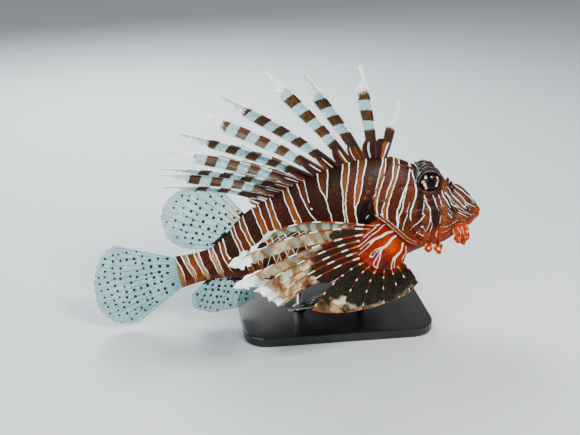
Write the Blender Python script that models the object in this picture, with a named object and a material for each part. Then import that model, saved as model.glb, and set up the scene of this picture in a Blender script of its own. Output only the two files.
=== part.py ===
"""Red lionfish, a still life-size model on a plain display stand.

Sizes are in millimetres until a mesh is written in metres. The fish is drawn
in its own frame: u runs aft from the snout along the body, y is to its left
and w is upwards. The body is one loft, parted into head, torso and tail, and
every fin is one thin sheet whose rays are ridges in its own surface.
"""
import math
import random

import bmesh
import bpy
from mathutils import Vector

MM = 0.001
GAP = 0.3
WELD = 0.000001

# The fish in the world: it faces +X, a little nose-up, over the stand.
SNOUT = Vector((116.4, 0.0, 88.5))
PITCH = math.radians(9.8)

# Body rows: station u, back, belly, level of the widest line, half width.
BODY = [
    (0, 0, 0, 0, 0),
    (1, 3.6, -3.2, -0.5, 3.8),
    (3.5, 8.0, -7.0, -1, 6.5),
    (7, 15.0, -10.4, -1.5, 8.8),
    (11, 20.6, -12.8, -2, 10.8),
    (16, 23.6, -14.8, -2, 12.4),
    (22, 25.6, -17.0, -1, 13.8),
    (26, 33.0, -19.2, 2, 14.6),
    (31, 41.0, -21.6, 4, 15.6),
    (38, 45.4, -22.6, 5, 16.8),
    (47, 47.2, -23.4, 5.5, 18.2),
    (57, 53.6, -25.2, 6, 19.6),
    (68, 58.4, -28.0, 7, 20.8),
    (80, 60.8, -30.8, 9, 21.6),
    (95, 61.0, -32.8, 10, 21.8),
    (112, 58.6, -33.4, 10, 20.6),
    (130, 54.4, -32.4, 9, 18.0),
    (148, 49.4, -29.8, 8, 14.8),
    (165, 43.8, -25.6, 7, 11.8),
    (180, 38.2, -21.4, 5, 9.2),
    (192, 30.4, -18.0, 3.5, 7.4),
    (204, 19.8, -14.0, 2, 5.9),
    (214, 14.6, -12.3, 1, 5.0),
    (226, 13.0, -12.2, 0, 4.0),
    (237, 13.3, -13.4, 0, 2.7),
    (243, 13.6, -14.4, 0, 1.2),
]
STATIONS = [1, 2.2, 3.8, 5.8, 8.2, 11, 14.5, 18.5, 22, 24.5, 27, 30, 34, 38.5, 43.5, 49,
            55, 61.5, 68.5, 76, 85, 95, 106, 118, 130, 142, 154, 165, 175, 184, 192, 199,
            206, 213, 220, 228, 235, 240, 243]
RING_POINTS = 28
BACK_SHARPNESS = 1.25
BELLY_SHARPNESS = 0.95

# The gill cover's rear edge, from over the nape to under the throat. The
# trunk starts behind it and lies lower, so the cover stands proud.
GILL_LINE = [
    (63, 90), (63, 64), (68, 54), (77, 44), (84, 37), (88.6, 30.5), (89.8, 26), (87, 20.5),
    (80, 12.5), (73, 3.2), (65, -7.6), (56, -15), (47, -20), (41, -25), (38, -30), (37, -60),
]
GILL_STEP = 1.0
GILL_STEP_ENDS = (92, 122)
TAIL_START = 194.0

# Eye: middle on the right side as (u, y, w), and half sizes along u, y and w.
EYE = (39.4, -10.6, 35.0)
EYE_RADII = (7.7, 6.0, 7.7)
ORBIT_RADII = (10.9, 5.6, 10.4)
ORBIT_MIDDLE_Y = -9.6

# Mouth: its line as (u, w) from the front of the snout to the corner.
MOUTH_LINE = [(-6, -1.2), (0, -1.8), (6, -3.2), (12, -4.4), (19.5, -4.4)]
MOUTH_GAPE = 1.1
LIP_RADIUS = 1.5

# Small spines of the head, right side: foot (u, y, w), tip, foot radius.
HEAD_SPINES = [
    ((31.5, -8.0, 41.0), (34.0, -8.6, 46.4), 1.5),
    ((37.0, -8.0, 43.2), (39.8, -8.6, 48.6), 1.5),
    ((42.8, -8.0, 43.4), (46.8, -8.6, 48.4), 1.5),
    ((51.0, -6.4, 46.4), (56.2, -7.2, 51.6), 1.5),
    ((58.0, -7.4, 50.4), (63.4, -8.2, 55.0), 1.5),
    ((25.0, -12.6, 12.0), (28.4, -17.0, 13.4), 1.3),
    ((36.0, -15.4, 13.6), (39.8, -20.0, 15.0), 1.3),
    ((47.0, -17.0, 14.8), (51.0, -22.2, 16.2), 1.4),
    ((60.0, -18.8, 16.4), (64.6, -24.2, 17.8), 1.5),
    ((78.0, -19.6, 31.0), (84.6, -22.4, 31.4), 1.6),
    ((55.0, -18.6, -2.0), (60.4, -21.4, -3.6), 1.5),
    ((51.0, -17.2, -9.0), (55.6, -19.6, -12.0), 1.5),
    ((45.0, -14.6, -14.4), (48.0, -16.4, -18.6), 1.4),
    ((38.0, -11.8, -17.6), (39.2, -13.2, -22.4), 1.3),
]

# Skin flaps of the head, right side: middle line from root to end, and the
# half widths along it. Wavy widths make the frilled outline.
FLAPS = [
    ([(20, -9.5, -2.0), (21.0, -12.0, -8.5), (19.5, -12.8, -14.5), (18.6, -12.2, -20.5),
      (17.6, -11.4, -25.0)], [2.2, 3.2, 4.0, 3.2, 0.8]),
    ([(16.5, -9.0, -3.0), (14.8, -12.6, -7.5), (13.2, -13.8, -11.5), (12.0, -13.4, -15.0)],
     [2.0, 2.8, 2.8, 0.8]),
    ([(23.0, -10.5, -4.0), (25.2, -13.2, -8.0), (26.4, -14.0, -12.5), (26.6, -13.6, -16.0)],
     [2.0, 2.8, 2.8, 0.8]),
    ([(38.0, -11.0, -17.0), (38.8, -12.6, -21.5), (38.6, -13.0, -27.5)], [2.0, 4.0, 1.2]),
    ([(46.0, -13.0, -14.5), (46.6, -14.8, -19.5), (46.2, -15.0, -24.0)], [1.8, 3.4, 1.6]),
    ([(22.0, -3.0, 22.5), (20.6, -3.6, 26.0), (19.2, -4.0, 28.8)], [1.2, 1.4, 0.6]),
]
FRILL = (1.1, 0.8)
FLAP_HALF_THICKNESS = 0.55

# Spiny dorsal fin: for each spine its foot on the back, its tip as (u, w) and
# how far the tip leans sideways, so that neighbours pass one another.
DORSAL_SPINES = [
    ((68.0, 60.5), (51.9, 99.0), 0),
    ((76.5, 62.5), (76.4, 131.4), 4),
    ((86.8, 62.8), (121.0, 137.0), -3),
    ((97.5, 62.4), (147.0, 142.2), 4),
    ((108.5, 60.8), (181.6, 131.2), -4),
    ((119.0, 58.6), (201.8, 121.4), 5),
    ((129.0, 56.0), (216.0, 110.2), -5),
    ((138.0, 53.6), (229.0, 96.4), 5),
    ((146.5, 51.2), (237.4, 87.8), -6),
    ((154.5, 48.6), (240.6, 80.6), 5),
    ((162.2, 46.0), (238.0, 73.6), -6),
    ((169.6, 43.4), (192.4, 57.6), 2),
    ((176.4, 41.0), (189.6, 49.4), -1),
]
SPINE_SINK = 6.0
SPINE_RADIUS = (1.5, 0.5)
BANNER_WIDTHS = (9.6, 7.2)
RAG_ENDS = (14.0, 28.0)
RAG_WIDTH = 0.35
WEB_HEIGHTS = (0.0, 7.0, 14.5)
SHORT_SPINE = 40.0
SHORT_WEB = (0.0, 0.28, 0.5)
SPINE_ROWS = 11
SPINE_BOW = 0.035

# Pectoral fin of the right side: fourteen rays from the fleshy base, each
# with its root, its tip and its bow. The left fin is the same, swung up.
PECTORAL_ROOTS = [
    (89.1, -24, 14.0), (94.5, -27, 13.4), (99.6, -29, 11.0), (103.6, -31, 7.6),
    (106.0, -32, 3.6), (106.6, -33, -0.8), (105.6, -34, -5.2), (103.3, -35, -9.4),
    (99.8, -36, -13.4), (94.6, -36, -17.4), (88.4, -35, -20.4), (82.2, -34, -21.6),
    (76.8, -32, -21.2), (72.2, -29, -19.4),
]
PECTORAL_TIPS = [
    (186, -98, 49.5), (202, -104, 45), (202, -112, 32.5), (189.6, -114, 27.5),
    (184.2, -112, 21.5), (180.9, -108, 15), (175.6, -102, 7), (152.3, -92, -7.5),
    (132.1, -86, -18), (115.9, -80, -22.5), (98.5, -73, -25.5), (85.6, -66, -27.5),
    (75.5, -59, -28.5), (66.5, -50, -27.5),
]
PECTORAL_BOWS = [12, 9, 6, 5, 4, 4, 4, 5, 5, 4, 4, 3, 3, 2]
TOP_RAY_SKEW = 0.55
PECTORAL_WEB_ROWS = [3, 2, 3, 9, 9, 9, 4, 9, 9, 9, 9, 9, 9]
OUTER_WIDTHS = {0: 0.7, 6: 0.3}
PECTORAL_ROWS = 10
PECTORAL_STRIP = 8.6
PECTORAL_RAY = (1.15, 0.45)
LEFT_FIN_LIFT = math.radians(8.0)
LIFT_MIDDLE = (27.0, 2.0)

# The fleshy pectoral base: where it leaves the trunk, from top to bottom.
LOBE_ROOTS = [
    (80.0, -15, 12.5), (78.5, -15, 11.5), (76.5, -15, 9.0), (74.5, -15, 6.0),
    (72.8, -15, 3.0), (71.3, -15, 0.0), (70.0, -15, -3.2), (68.8, -15, -6.4),
    (67.6, -15, -9.4), (66.4, -14, -12.2), (65.2, -13, -14.6), (64.2, -12, -16.6),
    (63.4, -11, -18.2), (62.8, -10, -19.6),
]
LOBE_COLUMNS = 4
LOBE_THICKNESS = (7.0, 3.6)
LOBE_MARGIN = 0.8
RAY_SINK = 1.5

# Plain fans: first and last root, first and last tip corner, with the outline
# between them read from a few points. Each is (u, y, w).
CAUDAL_ROOTS = [(242.0, 0, 11.5), (242.4, 0, 4.0), (242.4, 0, -5.0), (242.0, 0, -12.5)]
CAUDAL_TIPS = [(286.0, 0, 33.0), (296.5, 0, 27.0), (304.0, 0, 16.0), (308.4, 0, 4.0),
               (310.0, 0, -8.0), (309.0, 0, -19.0), (303.0, 0, -28.5), (294.0, 0, -34.0),
               (283.0, 0, -36.0)]
CAUDAL_RAYS = 13
SOFT_ROOTS = [(182.0, 0, 33.0), (190.0, 0, 26.0), (198.0, 0, 18.0), (206.0, 0, 11.5)]
SOFT_TIPS = [(197.0, 0, 60.0), (208.0, 0, 65.0), (220.0, 0, 66.5), (231.0, 0, 64.5),
             (240.0, 0, 59.0), (245.6, 0, 49.0), (246.4, 0, 38.5), (243.5, 0, 27.5),
             (235.5, 0, 18.6)]
SOFT_RAYS = 11
ANAL_ROOTS = [(186.0, 0, -13.5), (196.0, 0, -11.0), (206.0, 0, -8.5), (216.0, 0, -7.5)]
ANAL_TIPS = [(189.0, 0, -37.0), (201.0, 0, -41.0), (216.0, 0, -42.0), (229.0, 0, -39.5),
             (238.0, 0, -32.5), (237.0, 0, -22.5)]
ANAL_RAYS = 9
PELVIC_ROOTS = [(73.0, -15.0, -22.0), (77.0, -12.5, -24.5), (81.0, -9.0, -26.0),
                (84.0, -6.0, -26.5)]
PELVIC_TIPS = [(120.0, -38.0, -31.0), (150.0, -43.0, -32.0), (166.0, -38.0, -34.5),
               (166.0, -29.0, -37.5), (157.0, -20.0, -39.5), (142.0, -12.0, -40.5)]
PELVIC_RAYS = 6
FAN_ROWS = 7
FAN_RAY = (0.95, 0.4)
FAN_NOTCH = 0.985
MEMBRANE_HALF = 0.3
WEB_MIDDLE = 0.5

# Slabs that part the body reach well past it on every side.
SLAB_HALF = 70.0
SLAB_LOW = -60
SLAB_HIGH = 90
SLAB_FRONT = -30
SLAB_REAR = 260

# Display stand: a flat base and two short rods up into the belly.
BASE_SIZE = (150.0, 90.0, 8.0)
BASE_CORNER = 18.0
BASE_BEVEL = 1.2
ROD_RADIUS = 2.6
ROD_STATIONS = {"stand_rod_front": 99.0, "stand_rod_rear": 150.0}
ROD_SINK = 8.0

rng = random.Random(7)


def clear_scene():
    for old in list(bpy.data.objects):
        bpy.data.objects.remove(old, do_unlink=True)


def material(name, colour, roughness, metallic=0.0):
    made = bpy.data.materials.new(name)
    made.use_nodes = True
    shader = made.node_tree.nodes["Principled BSDF"]
    shader.inputs["Base Color"].default_value = (*colour, 1.0)
    shader.inputs["Roughness"].default_value = roughness
    shader.inputs["Metallic"].default_value = metallic
    return made


def place(point):
    """A point of the fish, in millimetres, as a world point in metres."""
    u, y, w = point
    x = SNOUT.x - u * math.cos(PITCH) - w * math.sin(PITCH)
    z = SNOUT.z - u * math.sin(PITCH) + w * math.cos(PITCH)
    return Vector((x, y, z)) * MM


def mirrored(point):
    return (point[0], -point[1], point[2])


def mix(a, b, share):
    return a + (b - a) * share


def ramp(value, low, high):
    """0 below low, 1 above high, and smooth between."""
    share = min(max((value - low) / (high - low), 0.0), 1.0)
    return share * share * (3 - 2 * share)


def hermite(knots, values, x):
    """A smooth curve through values at uneven knots."""
    last = len(knots) - 1
    x = min(max(x, knots[0]), knots[last])
    k = 0
    while k < last - 1 and x > knots[k + 1]:
        k += 1

    def slope(i):
        if i == 0 or i == last:
            a, b = (0, 1) if i == 0 else (last - 1, last)
            return (values[b] - values[a]) / (knots[b] - knots[a])
        before = knots[i] - knots[i - 1]
        after = knots[i + 1] - knots[i]
        rise_before = (values[i] - values[i - 1]) / before
        rise_after = (values[i + 1] - values[i]) / after
        return (rise_before * after + rise_after * before) / (before + after)

    width = knots[k + 1] - knots[k]
    t = (x - knots[k]) / width
    start = (2 * t ** 3 - 3 * t ** 2 + 1) * values[k] + (t ** 3 - 2 * t ** 2 + t) * width * slope(k)
    end = (3 * t ** 2 - 2 * t ** 3) * values[k + 1] + (t ** 3 - t ** 2) * width * slope(k + 1)
    return start + end


def along(points, share):
    """A point on a smooth curve through points, share running from 0 to 1."""
    knots = list(range(len(points)))
    at = share * (len(points) - 1)
    return Vector([hermite(knots, [p[axis] for p in points], at) for axis in range(3)])


BODY_KNOTS = [row[0] for row in BODY]


def body_row(u):
    """Back, belly, widest level and half width of the body at u."""
    return [hermite(BODY_KNOTS, [row[k] for row in BODY], u) for k in range(1, 5)]


def gill_step(u):
    return GILL_STEP * (1 - ramp(u, *GILL_STEP_ENDS))


def half_width(u, w):
    """The body's half width at station u and height w."""
    back, belly, widest, half = body_row(u)
    if w >= widest:
        reach = min((w - widest) / max(back - widest, 0.01), 1.0)
        sharpness = BACK_SHARPNESS
    else:
        reach = min((widest - w) / max(widest - belly, 0.01), 1.0)
        sharpness = BELLY_SHARPNESS
    return half * (1 - reach * reach) ** (sharpness / 2)


def body_ring(u, grow, inset):
    """One closed section of the body, grown outwards and drawn in at its flanks."""
    back, belly, widest, half = body_row(u)
    half = max(half - inset * gill_step(u), 0.3) + grow
    points = []
    for k in range(RING_POINTS):
        angle = 2 * math.pi * k / RING_POINTS
        rise = math.cos(angle)
        side = math.sin(angle)
        if rise >= 0:
            w = widest + (back + grow - widest) * rise
            sharpness = BACK_SHARPNESS
        else:
            w = widest + (widest - belly + grow) * rise
            sharpness = BELLY_SHARPNESS
        y = half * math.copysign(abs(side) ** sharpness, side)
        points.append((u, y, w))
    return points


def object_from(name, points, faces, finish=None):
    """A mesh object from fish points and faces, with its faces turned outwards."""
    mesh = bpy.data.meshes.new(name)
    mesh.from_pydata([place(p) for p in points], [], faces)
    if finish:
        mesh.materials.append(finish)
    made = bpy.data.objects.new(name, mesh)
    bpy.context.scene.collection.objects.link(made)
    shell = bmesh.new()
    shell.from_mesh(mesh)
    bmesh.ops.recalc_face_normals(shell, faces=shell.faces)
    bmesh.ops.triangulate(shell, faces=[f for f in shell.faces if len(f.verts) > 4])
    shell.to_mesh(mesh)
    shell.free()
    return made


def body_loft(name, grow=0.0, inset=0.0, finish=None):
    points = [(-grow, 0, 0)]
    for u in STATIONS:
        points += body_ring(u, grow, inset)
    tail_end = STATIONS[-1] + max(grow, 0.01)
    points.append((tail_end, 0, 0))
    faces = []
    for k in range(RING_POINTS):
        after = (k + 1) % RING_POINTS
        faces.append((0, 1 + k, 1 + after))
        for r in range(len(STATIONS) - 1):
            here = 1 + r * RING_POINTS
            ahead = here + RING_POINTS
            faces.append((here + k, ahead + k, ahead + after, here + after))
        last = 1 + (len(STATIONS) - 1) * RING_POINTS
        faces.append((last + k, len(points) - 1, last + after))
    return object_from(name, points, faces, finish)


def prism(name, outline):
    """A slab across the fish whose side view is the outline of (u, w) points."""
    count = len(outline)
    points = [(u, -SLAB_HALF, w) for u, w in outline]
    points += [(u, SLAB_HALF, w) for u, w in outline]
    faces = [tuple(range(count)), tuple(range(2 * count - 1, count - 1, -1))]
    for k in range(count):
        after = (k + 1) % count
        faces.append((k, after, count + after, count + k))
    return object_from(name, points, faces)


def shifted_line(line, distance):
    """The line moved sideways by a distance, towards its left as it runs."""
    moved = []
    for k, (u, w) in enumerate(line):
        before = line[max(k - 1, 0)]
        after = line[min(k + 1, len(line) - 1)]
        run = Vector((after[0] - before[0], after[1] - before[1])).normalized()
        moved.append((u - run.y * distance, w + run.x * distance))
    return moved


def ellipsoid(name, middle, radii, segments=20, rings=12, finish=None):
    points = [(middle[0], middle[1] - radii[1], middle[2])]
    for r in range(1, rings):
        polar = math.pi * r / rings
        for k in range(segments):
            turn = 2 * math.pi * k / segments
            points.append((middle[0] + radii[0] * math.sin(polar) * math.cos(turn),
                           middle[1] - radii[1] * math.cos(polar),
                           middle[2] + radii[2] * math.sin(polar) * math.sin(turn)))
    points.append((middle[0], middle[1] + radii[1], middle[2]))
    faces = []
    for k in range(segments):
        after = (k + 1) % segments
        faces.append((0, 1 + k, 1 + after))
        for r in range(rings - 2):
            here = 1 + r * segments
            faces.append((here + k, here + segments + k, here + segments + after, here + after))
        last = 1 + (rings - 2) * segments
        faces.append((last + k, len(points) - 1, last + after))
    return object_from(name, points, faces, finish)


def cone(name, foot, tip, radius, sides=5):
    """A small spine with its foot sunk in what it grows from."""
    foot = Vector(foot)
    tip = Vector(tip)
    run = (tip - foot).normalized()
    foot = foot - run * 1.5
    across = run.orthogonal().normalized()
    other = run.cross(across)
    points = []
    for k in range(sides):
        turn = 2 * math.pi * k / sides
        points.append(foot + (across * math.cos(turn) + other * math.sin(turn)) * radius)
    points.append(tip)
    faces = [tuple(range(sides))]
    faces += [(k, (k + 1) % sides, sides) for k in range(sides)]
    return object_from(name, points, faces)


def tube(name, path, radii, sides=7):
    """A round-sided tube along a path, closed at both ends."""
    points = []
    for k, middle in enumerate(path):
        before = path[max(k - 1, 0)]
        after = path[min(k + 1, len(path) - 1)]
        run = (Vector(after) - Vector(before)).normalized()
        across = run.cross(Vector((0, 0, 1))).normalized()
        other = run.cross(across)
        for s in range(sides):
            turn = 2 * math.pi * s / sides
            points.append(Vector(middle) + (across * math.cos(turn) + other * math.sin(turn)) * radii[k])
    faces = [tuple(range(sides)), tuple(range(len(points) - sides, len(points)))]
    for k in range(len(path) - 1):
        for s in range(sides):
            after = (s + 1) % sides
            faces.append((k * sides + s, k * sides + after, (k + 1) * sides + after,
                          (k + 1) * sides + s))
    return object_from(name, points, faces)


def sheet(name, grid, half, present, finish=None):
    """A thin closed solid round a grid of points, row by column.

    half gives the half thickness at each point, and present says which cells
    exist. Both faces are split into triangles alike.
    """
    rows = len(grid)
    columns = len(grid[0])
    cells = [(r, c) for r in range(rows - 1) for c in range(columns - 1) if present(r, c)]
    used = sorted({(r + i, c + j) for r, c in cells for i in (0, 1) for j in (0, 1)})
    turned = {key: Vector((0, 0, 0)) for key in used}
    for r, c in cells:
        diagonal_a = grid[r + 1][c + 1] - grid[r][c]
        diagonal_b = grid[r + 1][c] - grid[r][c + 1]
        facing = diagonal_a.cross(diagonal_b)
        facing.normalize()
        for i in (0, 1):
            for j in (0, 1):
                turned[(r + i, c + j)] += facing
    index = {key: k for k, key in enumerate(used)}
    front = []
    rear = []
    for key in used:
        normal = turned[key].normalized()
        front.append(grid[key[0]][key[1]] + normal * half[key[0]][key[1]])
        rear.append(grid[key[0]][key[1]] - normal * half[key[0]][key[1]])
    count = len(used)
    faces = []
    edges = {}
    for r, c in cells:
        a, b, d, e = (index[(r, c)], index[(r, c + 1)], index[(r + 1, c + 1)], index[(r + 1, c)])
        for three in ((a, b, d), (a, d, e)):
            faces.append(three)
            faces.append(tuple(count + k for k in reversed(three)))
        for edge in ((a, b), (b, d), (d, e), (e, a)):
            edges[edge] = True
    for a, b in edges:
        if (b, a) not in edges:
            faces.append((b, a, count + b))
            faces.append((a, count + a, count + b))
    return object_from(name, front + rear, faces, finish)


def ray_line(root, tip, bow, heights, skew=0.0):
    """Points of one ray at shares of its length, bowed sideways by a vector.

    Skew moves the bow from the root's half to the tip's half.
    """
    root = Vector(root)
    tip = Vector(tip)
    return [root.lerp(tip, t) + bow * (4 * t * (1 - t) * (1 + skew * (2 * t - 1))) for t in heights]


def rayed_sheet(name, rays, widths, radii, web_rows, finish):
    """Rays with a strip of skin behind each, joined by a web near the root.

    rays[i][r] are the points of ray i, widths[i][r] the free width of its
    strip, radii the ray's half thickness at root and tip, and web_rows[i] how
    many rows of cells join ray i to the next one.
    """
    rows = len(rays[0])
    grid = [[] for _ in range(rows)]
    half = [[] for _ in range(rows)]
    for i, ray in enumerate(rays):
        last = i == len(rays) - 1
        for r in range(rows):
            share = r / (rows - 1)
            radius = mix(radii[0], radii[1], share)
            side = min(radius, 1.0)
            run = (ray[min(r + 1, rows - 1)] - ray[max(r - 1, 0)]).normalized()
            other = rays[i - 1 if last else i + 1][r]
            towards = ray[r] - other if last else other - ray[r]
            towards = towards - run * towards.dot(run)
            room = towards.length
            towards.normalize()
            grid[r] += [ray[r] - towards * side, ray[r], ray[r] + towards * side]
            half[r] += [MEMBRANE_HALF, radius, MEMBRANE_HALF]
            if last:
                continue
            inside = r <= web_rows[i]
            shared = max(room * WEB_MIDDLE, side + 0.4)
            width = shared if inside else max(widths[i][r], side + 0.4)
            grid[r].append(ray[r] + towards * min(width, max(shared, side + 0.4)))
            half[r].append(MEMBRANE_HALF)

    def present(r, c):
        ray_number, part = divmod(c, 4)
        if part < 3:
            return True
        return r < web_rows[ray_number]

    return sheet(name, grid, half, present, finish)


def fan(name, roots, tips, ray_count, bow, finish, swing=lambda p: p):
    """A fan of rays with a membrane between them, notched between the tips."""
    columns = 2 * ray_count - 1
    grid = [[] for _ in range(FAN_ROWS)]
    half = [[] for _ in range(FAN_ROWS)]
    for c in range(columns):
        share = c / (columns - 1)
        on_ray = c % 2 == 0
        root = along(roots, share)
        tip = along(tips, share)
        if not on_ray:
            tip = root.lerp(tip, FAN_NOTCH)
        line = ray_line(root, tip, bow, [r / (FAN_ROWS - 1) for r in range(FAN_ROWS)])
        for r in range(FAN_ROWS):
            grid[r].append(swing(line[r]))
            depth = mix(*FAN_RAY, r / (FAN_ROWS - 1)) if on_ray else MEMBRANE_HALF
            half[r].append(depth)
    return sheet(name, grid, half, lambda r, c: True, finish)


def cutter(made):
    made.hide_render = True
    made.display_type = "WIRE"
    return made


def largest_shell(shell):
    """Keeps only the closed surface with the largest volume."""
    left = set(shell.faces)
    groups = []
    while left:
        start = left.pop()
        group = [start]
        stack = [start]
        while stack:
            face = stack.pop()
            for edge in face.edges:
                for other in edge.link_faces:
                    if other in left:
                        left.remove(other)
                        group.append(other)
                        stack.append(other)
        groups.append(group)

    def volume(group):
        total = 0.0
        for face in group:
            first = face.verts[0].co
            for k in range(1, len(face.verts) - 1):
                total += first.dot(face.verts[k].co.cross(face.verts[k + 1].co)) / 6
        return total

    groups.sort(key=volume, reverse=True)
    spare = [face for group in groups[1:] for face in group]
    bmesh.ops.delete(shell, geom=spare, context="FACES")


def settle(made, steps):
    """Applies Booleans in order: each step is an operation and its objects."""
    for operation, others in steps:
        modifier = made.modifiers.new(operation.lower(), "BOOLEAN")
        modifier.operation = operation
        modifier.solver = "EXACT"
        if len(others) == 1:
            modifier.object = others[0]
        else:
            group = bpy.data.collections.new("pieces")
            for other in others:
                group.objects.link(other)
            modifier.operand_type = "COLLECTION"
            modifier.collection = group
        seen = made.evaluated_get(bpy.context.evaluated_depsgraph_get())
        mesh = bpy.data.meshes.new_from_object(seen)
        made.modifiers.remove(modifier)
        if len(others) > 1:
            bpy.data.collections.remove(group)
        shell = bmesh.new()
        shell.from_mesh(mesh)
        bmesh.ops.remove_doubles(shell, verts=shell.verts, dist=WELD)
        bmesh.ops.triangulate(shell, faces=shell.faces)
        largest_shell(shell)
        shell.to_mesh(mesh)
        shell.free()
        finishes = list(made.data.materials)[:1]
        made.data = mesh
        mesh.name = made.name
        mesh.materials.clear()
        for finish in finishes:
            mesh.materials.append(finish)
    return made


def drop(pieces):
    for piece in pieces:
        bpy.data.objects.remove(piece, do_unlink=True)


def mouth_slot():
    """A thin slab along the mouth's line, cut right through the snout."""
    upper = [(u, w + MOUTH_GAPE / 2) for u, w in MOUTH_LINE]
    lower = [(u, w - MOUTH_GAPE / 2) for u, w in reversed(MOUTH_LINE)]
    return prism("mouth_slot", upper + lower)


def lip(name, above):
    """A rounded lip round the snout, on one side of the mouth's line."""
    offset = (MOUTH_GAPE / 2 + LIP_RADIUS * 0.72) * (1 if above else -1)
    corner = MOUTH_LINE[-1][0] - 1.5
    stations = [corner, 15.5, 11.5, 8, 5, 2.8, 1.2]
    knots = [p[0] for p in MOUTH_LINE]
    levels = [p[1] for p in MOUTH_LINE]
    side = []
    for u in stations:
        w = hermite(knots, levels, u) + offset
        side.append((u, -max(half_width(u, w) - 0.5, 1.6), w))
    front = (0.7, 0, hermite(knots, levels, 0) + offset)
    path = side + [front] + [mirrored(p) for p in reversed(side)]
    radii = [LIP_RADIUS] * len(path)
    radii[0] = radii[-1] = LIP_RADIUS * 0.6
    return tube(name, path, radii)


def flap(name, line, half_widths, side):
    """A thin skin flap with a wavy edge, hanging from the head."""
    rows = len(line) + 2
    grid = []
    half = []
    for r in range(rows):
        share = r / (rows - 1)
        middle = along(line, share)
        reach = along([(width, 0, 0) for width in half_widths], share)[0]
        reach = max(reach * FRILL[r % 2], 0.6)
        middle.y *= side
        grid.append([middle + Vector((c * reach, abs(c) * reach * 0.2 * side, 0)) for c in (-1, 0, 1)])
        half.append([FLAP_HALF_THICKNESS * 0.8, FLAP_HALF_THICKNESS, FLAP_HALF_THICKNESS * 0.8])
    return sheet(name, grid, half, lambda r, c: True)


def make_head(finish):
    head = body_loft("head", finish=finish)
    front = [(SLAB_FRONT, SLAB_LOW), (SLAB_FRONT, SLAB_HIGH)]
    region = prism("head_region", GILL_LINE + front)
    added = []
    sockets = []
    for side in (1, -1):
        orbit = (EYE[0], ORBIT_MIDDLE_Y * side, EYE[2])
        added.append(ellipsoid("orbit", orbit, ORBIT_RADII, 16, 9))
        socket_radii = [radius + GAP for radius in EYE_RADII]
        sockets.append(ellipsoid("socket", (EYE[0], EYE[1] * side, EYE[2]), socket_radii, 16, 10))
        for foot, tip, radius in HEAD_SPINES:
            feet = (foot[0], foot[1] * side, foot[2])
            tips = (tip[0], tip[1] * side, tip[2])
            added.append(cone("head_spine", feet, tips, radius))
        for line, half_widths in FLAPS:
            added.append(flap("flap", line, half_widths, side))
        sockets.append(ellipsoid("nostril", (16.5, -8.6 * side, 20.5), (1.3, 1.6, 1.3), 8, 6))
    lips = [lip("upper_lip", True), lip("lower_lip", False)]
    slot = mouth_slot()
    settle(head, [("INTERSECT", [region]), ("UNION", lips), ("DIFFERENCE", [slot]),
                  ("UNION", added), ("DIFFERENCE", sockets)])
    drop([region, slot] + lips + added + sockets)
    return head


def make_torso(finish):
    torso = body_loft("torso", inset=1.0, finish=finish)
    behind = shifted_line(GILL_LINE, GAP)
    region = prism("torso_region", behind + [(TAIL_START, SLAB_LOW), (TAIL_START, SLAB_HIGH)])
    settle(torso, [("INTERSECT", [region])])
    drop([region])
    return torso


def make_tail(finish):
    tail = body_loft("tail", inset=1.0, finish=finish)
    start = TAIL_START + GAP
    region = prism("tail_region", [(start, SLAB_LOW), (SLAB_REAR, SLAB_LOW), (SLAB_REAR, SLAB_HIGH),
                                   (start, SLAB_HIGH)])
    settle(tail, [("INTERSECT", [region])])
    drop([region])
    return tail


def make_clearances():
    """The body grown by the gap, which trims the root of all that grows on it."""
    trunk = cutter(body_loft("trunk_clearance", grow=GAP, inset=1.0))
    head = cutter(body_loft("head_clearance", grow=GAP))
    ahead = shifted_line(GILL_LINE, GAP)
    region = prism("clearance_region", ahead + [(SLAB_FRONT, SLAB_LOW), (SLAB_FRONT, SLAB_HIGH)])
    settle(head, [("INTERSECT", [region])])
    drop([region])
    return trunk, cutter(head)


def spine_rays():
    """Points of each dorsal spine, sunk in the back and bowed aft."""
    rays = []
    for (foot_u, foot_w), (tip_u, tip_w), lean in DORSAL_SPINES:
        foot = Vector((foot_u, 0, foot_w))
        tip = Vector((tip_u, lean, tip_w))
        run = (tip - foot).normalized()
        root = foot - Vector((run.x, 0, run.z)) * SPINE_SINK
        length = (tip - root).length
        heights = [height / length for height in WEB_HEIGHTS]
        if length < SHORT_SPINE:
            heights = list(SHORT_WEB)
        free = SPINE_ROWS - len(heights)
        heights += [mix(heights[-1], 1, (k + 1) / free) for k in range(free)]
        bow = Vector((-run.z, 0, run.x)) * length * SPINE_BOW
        rays.append(ray_line(root, tip, bow, heights))
    return rays


def make_spiny_dorsal(finish, trunk, head):
    rays = spine_rays()
    widths = []
    for i, ray in enumerate(rays):
        length = (ray[-1] - ray[0]).length
        widest = mix(*BANNER_WIDTHS, i / (len(rays) - 1)) * ramp(length, 20, 62)
        row = []
        for r in range(SPINE_ROWS):
            share = r / (SPINE_ROWS - 1)
            to_tip = (ray[-1] - ray[r]).length
            full = mix(0.75, 1.0, ramp(share, 0.2, 0.6))
            swell = mix(RAG_WIDTH * ramp(to_tip, -4, 8), full, ramp(to_tip, *RAG_ENDS))
            row.append(widest * swell * (1 + rng.uniform(-0.1, 0.1)))
        widths.append(row)
    web_rows = [2] * (len(rays) - 1)
    fin = rayed_sheet("spiny_dorsal_fin", rays, widths, SPINE_RADIUS, web_rows, finish)
    return settle(fin, [("DIFFERENCE", [trunk]), ("DIFFERENCE", [head])])


def left_swing(point):
    """The left pectoral fin is mirrored and swung up about its base."""
    y = -point[1] - LIFT_MIDDLE[0]
    w = point[2] - LIFT_MIDDLE[1]
    share = ramp(y, 4, 40)
    turn = LEFT_FIN_LIFT * share
    return Vector((point[0], LIFT_MIDDLE[0] + y * math.cos(turn) - w * math.sin(turn),
                   LIFT_MIDDLE[1] + y * math.sin(turn) + w * math.cos(turn)))


def right_swing(point):
    return Vector(point)


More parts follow.
